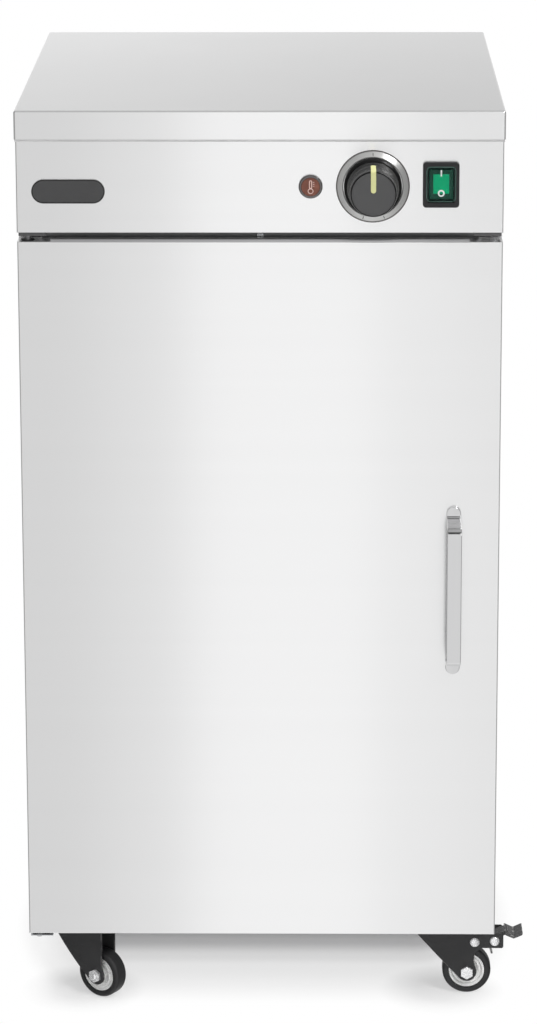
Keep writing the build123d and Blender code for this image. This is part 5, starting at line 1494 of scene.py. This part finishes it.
@dataclass
class Castor:
    """A swivel castor: fork, steel rim, rubber tyre, axle bolt, and a brake pedal where it has one."""

    name: str
    braked: bool
    nut_in_front: bool = False
    crown_sheet: float = 3.0
    crown_top: float = 69.7
    crown_edge: float = 0.9
    race_radius: float = 17.0
    race_edge: float = 0.6
    cheek_inner: float = 9.5
    cheek_sheet: float = 2.0
    cheek_edge: float = 0.5
    lead: float = 29.0
    brow: float = 3.0
    front_steps: int = 8
    tail: float = 31.0
    ear: float = 9.4
    ear_angles: Point = (222.0, 372.0)
    ear_steps: int = 16
    waist: float = 2.6
    bulge: float = 2.2
    braked_bulge: float = 0.4
    tyre_width: float = 16.0
    tyre_clear: float = 0.02
    shoulder: float = 3.5
    shoulder_steps: int = 7
    rim_radius: float = 16.8
    rim_width: float = 13.0
    hub_radius: float = 7.0
    hub_clear: float = 0.3
    axle_radius: float = 3.0
    axle_clear: float = 0.05
    axle_edge: float = 0.6
    hexagon: float = 11.2
    head_height: float = 4.0
    head_edge: float = 0.5
    washer_clear: float = 0.3
    washer_edge: float = 0.7
    axle_tail: float = 1.5
    brake_end: float = 57.5
    brake_low: float = 47.0
    brake_high: float = 62.0
    brake_corner: float = 1.2
    rivet_radius: float = 4.7
    rivet_height: float = 2.4
    rivet_shank: float = 0.55
    rivet_steps: int = 8
    rivet_places: tuple[Point, ...] = ((49.1, 54.1), (30.2, 53.0))
    pedal_width: float = 24.0
    pedal_length: float = 17.0
    pedal_sheet: float = 3.2
    pedal_gap: float = 1.2
    pedal_valley: float = 4.0
    pedal_lift: float = 6.4
    pedal_hub: float = 5.6
    lever_width: float = 16.0
    lever_edge: float = 0.4
    shoe_width: float = 4.5
    shoe_length: float = 16.0
    shoe_edge: float = 0.5
    tread_edge: float = 0.9
    facets: int = 96
    race_facets: int = 64
    bolt_facets: int = 40
    seat: Matrix = field(init=False)
    trail: float = field(init=False)
    wheel_radius: float = field(init=False)

    def __post_init__(self) -> None:
        """Finds the swivel axis, the trail and the wheel's size from the joints."""
        swivel = Vector(JOINTS["swivel_" + self.name]["pos_m"])
        spin = Vector(JOINTS["spin_" + self.name]["pos_m"])
        away = (spin - swivel).xy
        self.trail = away.length / MM
        self.wheel_radius = spin.z / MM
        turn = Matrix.Rotation(math.atan2(away.y, away.x), 4, "Z")
        self.seat = shift(swivel.x, swivel.y, 0.0) @ turn

    def build(self) -> None:
        """Makes the castor's pieces."""
        rows = [
            ("castor_", "black_paint", "fork_", "fork_shell_", self.fork, FORK_PAINT),
            ("castor_", "zinc_steel", "axle_", "axle_bolt_", self.axle, BOLT),
            ("wheel_", "rim_metal", "rim_", "wheel_rim_", self.rim, RIM_STEEL),
            ("wheel_", "tyre", "tyre_", "wheel_tyre_", self.tyre, TYRE_RUBBER),
        ]
        if self.braked:
            rows.append(("pedal_", "black_paint", "brake_pedal_", "pedal_lever_", self.pedal, PEDAL_PAINT))
        for body, slot, node, piece, make, finish in rows:
            fitting = Fitting(body + self.name, slot, (node + self.name,))
            fitting.fit(piece + self.name, make(), finish, self.seat)

    def crossing(self, along: float, up: float) -> Matrix:
        """A seat at a place of the trail and height, with local Z across the castor."""
        return shift(along, 0, up) @ turned_about("X", 90)

    def upright(self, outline: Sequence[Point], low: float, high: float) -> Shape:
        """Extrudes an outline of trail and height points across the castor, from low to high."""
        return Shape().prism(outline, high - low).move(turned_about("X", 90) @ shift(0, 0, -high))

    def cheek_outline(self) -> list[Point]:
        """Outline of one side plate: curved front edge, round ear, and the brake's arm where it has one."""
        top, back = self.crown_top, self.trail + self.ear
        ear = arc((self.trail, self.wheel_radius), (self.ear, self.ear), *self.ear_angles, self.ear_steps)
        front = self.curve((-self.lead, top - self.brow), ear[0], self.front_steps)
        neck = (back - self.waist, self.wheel_radius + self.ear)
        side = [(-self.lead, top)] + front + ear[1:] + [neck]
        if not self.braked:
            return side + [(self.tail - 1, top)]
        end, low, high, corner = self.brake_end, self.brake_low, self.brake_high, self.brake_corner
        arm = [
            (back - 2, low - 5), (back + 5, low), (end - corner, low), (end, low + corner),
            (end, high - corner), (end - corner, high), (self.tail + 0.6, high),
        ]
        return side + arm + [(self.tail, top)]

    def curve(self, start: Point, end: Point, steps: int) -> list[Point]:
        """Points on a slightly bulging line, bulging to the left of its course."""
        first, last = Vector(start), Vector(end)
        bulge = self.braked_bulge if self.braked else self.bulge
        side = Vector((last.y - first.y, first.x - last.x)).normalized()
        points = []
        for step in range(steps + 1):
            share = step / steps
            swell = 4 * bulge * share * (1 - share)
            points.append(tuple(first.lerp(last, share) + side * swell))
        return points

    def fork(self) -> Shape:
        """Two side plates under a crown, with the swivel race pressed in it."""
        inner, outer = self.cheek_inner, self.cheek_inner + self.cheek_sheet
        fork = Shape()
        for low in (-outer, inner):
            cheek = self.upright(self.cheek_outline(), low, low + self.cheek_sheet)
            fork.join(cheek.soften(self.cheek_edge, 2))
        low, top = self.crown_top - self.crown_sheet, self.crown_top
        crown = Shape().slab((-self.lead, -outer, low), (self.tail, outer, top)).soften(self.crown_edge)
        radius, edge = self.race_radius, self.race_edge
        race = [(0.0, low), (radius, low), (radius, top - edge), (radius - edge, top), (0.0, top)]
        return fork.join(crown, Shape().turn(race, self.race_facets))

    def wheel_part(self, upper: list[Point]) -> Shape:
        """A ring about the axle from the half of its section on one side."""
        ring = Shape().turn(upper + below(upper) + upper[:1], self.facets)
        return ring.move(self.crossing(self.trail, self.wheel_radius))

    def rim(self) -> Shape:
        """Pressed rim: stepped flange, dished web and hub."""
        half, hub_half = self.rim_width / 2, self.cheek_inner - self.hub_clear
        hub, rim = self.hub_radius, self.rim_radius
        return self.wheel_part([
            (self.axle_radius + self.axle_clear, hub_half), (hub - 0.4, hub_half), (hub, hub_half - 0.4),
            (hub, half - 3.4), (hub + 2.4, half - 3.6), (hub + 3.4, half - 1.4), (hub + 4.6, half - 1.1),
            (hub + 5.2, half - 1.7), (rim - 3.2, half - 1.8), (rim - 2.6, half - 0.5), (rim - 1.8, half),
            (rim, half),
        ])

    def tyre(self) -> Shape:
        """Rubber tread with rounded shoulders and a step at the rim."""
        inner, half, bend = self.rim_radius + self.tyre_clear, self.tyre_width / 2, self.shoulder
        tread = arc((self.wheel_radius - bend, half - bend), (bend, bend), 90.0, 0.0, self.shoulder_steps)
        return self.wheel_part([(inner, half - 1.3), (inner + 0.5, half - 1.0), (inner + 0.8, half)] + tread)

    def axle(self) -> Shape:
        """Hexagon bolt and lock nut through both side plates, and the brake's rivets."""
        outer, radius, edge = self.cheek_inner + self.cheek_sheet, self.axle_radius, self.axle_edge
        end = outer + self.head_height + self.axle_tail
        shank = [(0, -outer), (radius, -outer), (radius, end - edge), (radius - edge, end), (0, end)]
        whole = Shape().turn(shank, self.bolt_facets)
        for side in (-1, 1):
            top, washer = self.head_height, self.hexagon / 2 - self.washer_clear
            head = Shape().prism(hexagon(self.hexagon), top - self.head_edge).soften(self.head_edge)
            rim = top - self.washer_clear
            collar = [(0, 0), (washer, 0), (washer, rim), (washer - self.washer_edge, top), (0, top)]
            head.join(Shape().turn(collar, self.bolt_facets))
            whole.join(head.move(shift(0, 0, side * outer) @ turned_about("X", 90 - 90 * side)))
        facing = turned_about("X", 0 if self.nut_in_front else 180)
        whole.move(self.crossing(self.trail, self.wheel_radius) @ facing)
        if self.braked:
            whole.join(*[self.rivet(place) for place in self.rivet_places])
        return whole

    def rivet(self, place: Point) -> Shape:
        """A rivet through both side plates with domed heads."""
        outer, radius = self.cheek_inner + self.cheek_sheet, self.rivet_radius
        dome = arc((0.0, outer), (radius, self.rivet_height), 90.0, 0.0, self.rivet_steps)
        dome.append((radius * self.rivet_shank, outer))
        return Shape().turn(dome + below(dome), self.bolt_facets).move(self.crossing(*place))

    def pedal(self) -> Shape:
        """Brake lever: hub and shoe between the side plates, and the bent tread plate behind them."""
        pivot, up = self.rivet_places[0]
        sheet, half, wide = self.pedal_sheet, self.lever_width / 2, self.pedal_width / 2
        start, level = self.brake_end + self.pedal_gap, up + self.pedal_lift
        middle, end = start + self.pedal_length / 2, start + self.pedal_length
        hub = Shape().rod(self.pedal_hub, half, self.bolt_facets).move(self.crossing(pivot, up))
        near, low = pivot - self.pedal_hub, up - self.shoe_length
        shoe = [
            (near, up), (near + 0.9, low + 6), (near + 2.6, low), (near + self.shoe_width, low + 0.4),
            (near + 2.6, low + 6), (near + 3.2, up),
        ]
        arm = [
            (pivot, up), (start + sheet, level), (start + sheet, level + sheet),
            (pivot, up + self.pedal_hub),
        ]
        tread = [(start, level), (middle, level - self.pedal_valley), (end, level)]
        tread += [(along, height + sheet) for along, height in reversed(tread)]
        return hub.soften(self.lever_edge, 2).join(
            self.upright(shoe, -half / 2, half / 2).soften(self.shoe_edge, 2),
            self.upright(arm, -half, half).soften(self.lever_edge, 2),
            self.upright(tread, -wide, wide).soften(self.tread_edge),
        )


# Stage
@dataclass(frozen=True)
class PhotoCamera:
    """The photograph's viewpoint, fitted to the corners of the cabinet."""

    place: Place = (0.05092, -3.53, 1.44202)
    yaw: float = 0.0131
    pitch: float = 0.2268
    roll: float = -0.0024
    focal_pixels: float = 3752.75
    frame_height: float = 1024.0
    middle_row: float = 307.2
    sensor: float = 36.0

    def build(self) -> None:
        """Makes the scene's camera."""
        data = bpy.data.cameras.new("camera")
        data.sensor_fit = "VERTICAL"
        data.sensor_height = self.sensor
        data.lens = self.sensor * self.focal_pixels / self.frame_height
        data.shift_y = self.middle_row / self.frame_height - 0.5
        flat = math.cos(self.pitch)
        ahead = Vector((-math.sin(self.yaw) * flat, math.cos(self.yaw) * flat, -math.sin(self.pitch)))
        right = Vector((math.cos(self.yaw), math.sin(self.yaw), 0.0))
        up = right.cross(ahead)
        rolled_right = right * math.cos(self.roll) + up * math.sin(self.roll)
        rolled_up = up * math.cos(self.roll) - right * math.sin(self.roll)
        turn = Matrix((rolled_right, rolled_up, -ahead)).transposed().to_4x4()
        camera = bpy.data.objects.new("camera", data)
        camera.matrix_world = Matrix.Translation(self.place) @ turn
        bpy.context.scene.collection.objects.link(camera)
        bpy.context.scene.camera = camera


def open_glow(name: str) -> tuple[bpy.types.Material, Graph]:
    """A new material without a shader, and its graph."""
    material, graph, shader = open_material(name)
    graph.tree.nodes.remove(shader)
    return material, graph


def hang_card(name: str, shape: Shape, material: bpy.types.Material) -> None:
    """Puts a card on the stage that only mirrors and glass can see.

    Args:
        name: the card's name.
        shape: its sheet, used up by this.
        material: its glow.
    """
    mesh = shape.to_mesh(name)
    mesh.materials.append(material)
    card = bpy.data.objects.new(name, mesh)
    card.visible_camera = False
    card.visible_diffuse = False
    card.visible_shadow = False
    card.visible_volume_scatter = False
    bpy.context.scene.collection.objects.link(card)


@dataclass(frozen=True)
class Flag:
    """A small dark card, lying flat above the front, that bends in polished strip show as a dark line."""

    name: str
    place: Place
    width: float
    depth: float
    level: float = 0.03

    def build(self) -> None:
        """Makes the card and its faint glow."""
        shape = Shape()
        shape.outline(rectangle(self.width, self.depth))
        material, graph = open_glow(self.name)
        graph.show(graph.light("Emission", self.level))
        hang_card(self.name, shape.move(shift(*self.place)), material)


@dataclass(frozen=True)
class Reflector:
    """A large soft card that only shows in polished surfaces, with its own light and dark."""

    name: str
    x: float
    y: float
    half_width: float
    low: float
    high: float
    across: tuple[Point, ...]
    upward: tuple[Point, ...]
    fade: float = 0.3
    strength: float = 1.0

    def build(self) -> None:
        """Makes the card and its glow."""
        shape = Shape()
        left, right = self.x - self.half_width, self.x + self.half_width
        face = shape.outline(corners((left, self.low), (right, self.high)))
        bmesh.ops.subdivide_edges(shape.bm, edges=face[0].edges[:], cuts=4, use_grid_fill=True)
        hang_card(self.name, shape.move(facing_front(0, self.y, 0)), self.glow(left, right))

    def glow(self, left: float, right: float) -> bpy.types.Material:
        """Light that follows the card's two ramps and fades out at its border."""
        material, graph = open_glow(self.name)
        axes = graph.axes()
        sides = graph.ramp(axes["X"], self.across, left, right)
        heights = graph.ramp(axes["Z"], self.upward, self.low, self.high)
        reach = graph.math("ABSOLUTE", graph.math("SUBTRACT", axes["X"], self.x))
        inside = graph.span(reach, self.half_width - self.fade, self.half_width, 1.0, 0.0)
        under = graph.span(axes["Z"], self.high - self.fade, self.high, 1.0, 0.0)
        glow = graph.light("Emission", graph.product(sides, heights, self.strength))
        clear = graph.add("BsdfTransparent").outputs[0]
        graph.show(graph.blend(graph.product(inside, under), clear, glow))
        return material


CARDS = (
    Reflector("front_card", x=0.0, y=-0.63, half_width=0.5, low=-0.8, high=1.2, fade=0.12,
              across=((-0.22, 0.74), (-0.12, 0.83), (-0.045, 1.0), (0.085, 1.0), (0.14, 0.915), (0.26, 0.85)),
              upward=((-0.8, 1.0), (1.0, 1.0))),
    Reflector("upper_card", x=0.8, y=-3.0, half_width=0.9, low=1.2, high=5.0, fade=0.5, strength=1.25,
              across=((0.2, 1.0), (1.4, 1.0)), upward=((1.2, 1.0), (5.0, 1.0))),
    Flag("flag_card", (0.188, -0.54, 0.9), width=0.06, depth=0.25),
    Reflector("back_card", x=0.0, y=0.95, half_width=1.3, low=0.78, high=2.4, strength=1.355,
              across=((-0.4, 1.0), (0.4, 0.82)), upward=((0.8, 0.93), (1.35, 0.5), (2.4, 0.4))),
)


@dataclass
class Studio:
    """Pale floor, soft lamps, a graded surround and the reflector cards."""

    floor_radius: float = 7.0
    floor_steps: int = 64
    floor_white: float = 0.97
    floor_dim: float = 0.995
    floor_patches: float = 3.0
    floor_roughness: float = 0.9
    shadow_core: float = 0.15
    shadow_thinning: float = 2.2
    shadow: tuple[Point, ...] = ((0.045, 0.05), (0.062, 0.14), (0.1, 0.52), (0.125, 0.68), (0.17, 0.76),
                                 (0.22, 1.0))
    contact: tuple[float, float, float, float] = (0.025, 0.06, 0.6, 1.0)
    heights: tuple[Point, ...] = ((-1.0, 0.95), (0.0, 0.9), (0.35, 0.7), (0.7, 0.55), (1.0, 0.5))
    sides: tuple[Point, ...] = ((0.0, 1.0), (0.3, 0.95), (0.55, 0.5), (0.75, 0.36), (1.0, 0.42))
    depths: tuple[Point, ...] = ((-1.0, 1.0), (0.2, 1.0), (0.7, 0.72), (1.0, 0.66))
    target: Place = (0.0, 0.0, 0.4)

    def build(self) -> None:
        """Sets the stage."""
        bpy.context.scene.view_settings.view_transform = "Standard"
        PhotoCamera().build()
        self.surround()
        self.floor()
        self.lamp("key_lamp", (1.3, -1.9, 2.2), 0.7, 30.0)
        self.lamp("top_lamp", (-0.3, -0.3, 3.2), 2.4, 56.0).visible_glossy = False
        for card in CARDS:
            card.build()

    def seen_rays(self, graph: Graph) -> Socket:
        """1 on rays from the camera, mirrors and glass."""
        path = graph.add("LightPath").outputs
        seen = graph.math("MAXIMUM", path["Is Camera Ray"], path["Is Glossy Ray"])
        return graph.math("MAXIMUM", seen, path["Is Transmission Ray"])

    def surround(self) -> None:
        """World that is white to the camera and softly graded to everything else."""
        world = bpy.data.worlds.new("surround")
        bpy.context.scene.world = world
        world.use_nodes = True
        graph = Graph(world.node_tree)
        axes = graph.axes("Generated")
        heights = graph.ramp(axes["Z"], self.heights, -1.0, 1.0)
        sides = graph.ramp(graph.math("ABSOLUTE", axes["X"]), self.sides, 0.0, 1.0)
        depths = graph.ramp(axes["Y"], self.depths, -1.0, 1.0)
        graded = graph.light("Background", graph.product(heights, sides, depths))
        camera = graph.add("LightPath").outputs["Is Camera Ray"]
        graph.show(graph.blend(camera, graded, graph.light("Background", 1.0)), "World Output")

    def floor(self) -> None:
        """Round pale floor that keeps the object's shadow and runs out to white."""
        shape = Shape()
        shape.outline(circle(self.floor_radius, self.floor_steps))
        mesh = shape.to_mesh("floor")
        material, graph, shader = open_material("floor")
        spots = Effect.PATCHES.put(graph, Vector=graph.coordinates(), Scale=self.floor_patches)
        white = (self.floor_white,) * 3
        dim = tuple(self.floor_dim * part for part in white)
        graph.feed(shader.inputs["Base Color"], graph.mix(spots.outputs["Mask"], dim, white))
        shader.inputs["Roughness"].default_value = self.floor_roughness
        shader.inputs["Specular IOR Level"].default_value = 0.0
        lifted = graph.product(self.unshaded(graph), self.seen_rays(graph))
        graph.show(graph.blend(lifted, shader.outputs[0], graph.light("Emission", 1.0)))
        mesh.materials.append(material)
        floor = bpy.data.objects.new("floor", mesh)
        floor.visible_glossy = False
        bpy.context.scene.collection.objects.link(floor)

    def unshaded(self, graph: Graph) -> Socket:
        """How far the floor is out of the object's shadow, and of each castor's contact shade."""
        axes = graph.axes()
        beside = graph.math("SUBTRACT", graph.math("ABSOLUTE", axes["X"]), self.shadow_core)
        thinned = graph.product(graph.math("MAXIMUM", beside, 0.0), self.shadow_thinning)
        aside = graph.add("CombineXYZ", {"X": thinned, "Y": axes["Y"]}).outputs[0]
        share = graph.ramp(graph.vector("LENGTH", aside), self.shadow, self.shadow[0][0], self.shadow[-1][0])
        flat = graph.add("CombineXYZ", {"X": axes["X"], "Y": axes["Y"]}).outputs[0]
        for name in CASTOR_NAMES:
            stem = (*JOINTS["swivel_" + name]["pos_m"][:2], 0.0)
            share = graph.product(share, graph.span(graph.vector("DISTANCE", flat, stem), *self.contact))
        return share

    def lamp(self, name: str, place: Place, size: float, power: float) -> bpy.types.Object:
        """Adds a soft square lamp aimed at the cabinet's middle."""
        data = bpy.data.lights.new(name, "AREA")
        data.size = size
        data.energy = power
        lamp = bpy.data.objects.new(name, data)
        lamp.location = place
        aim = Vector(self.target) - Vector(place)
        lamp.rotation_mode = "QUATERNION"
        lamp.rotation_quaternion = aim.to_track_quat("-Z", "Y")
        bpy.context.scene.collection.objects.link(lamp)
        return lamp


def dress_nodes(finishes: dict[Finish, Sequence[str]]) -> None:
    """Gives the CAD nodes that stay visible their finishes."""
    for finish, nodes in finishes.items():
        for node in nodes:
            mesh = frame["nodes"][node].data
            mesh.materials.clear()
            mesh.materials.append(finish.material())
            LOG.info("node %s: finish %s", node, finish.name)


def main() -> None:
    """Builds the stage and the object's sub-assemblies in order."""
    logging.basicConfig(level=logging.INFO, format="%(message)s")
    Studio().build()
    dress_nodes(NODE_FINISHES)
    for maker in (DialKnob, PilotLamp, RockerSwitch, BadgePlate, DoorHandle, LidSeam, DoorFold, ScrewSet,
                  HingePlates, CableGland, DoorSeal):
        maker().build()
    for name in CASTOR_NAMES:
        Castor(name, "pedal_press_" + name in JOINTS, name == "front_left").build()


if __name__ == "__main__":
    main()
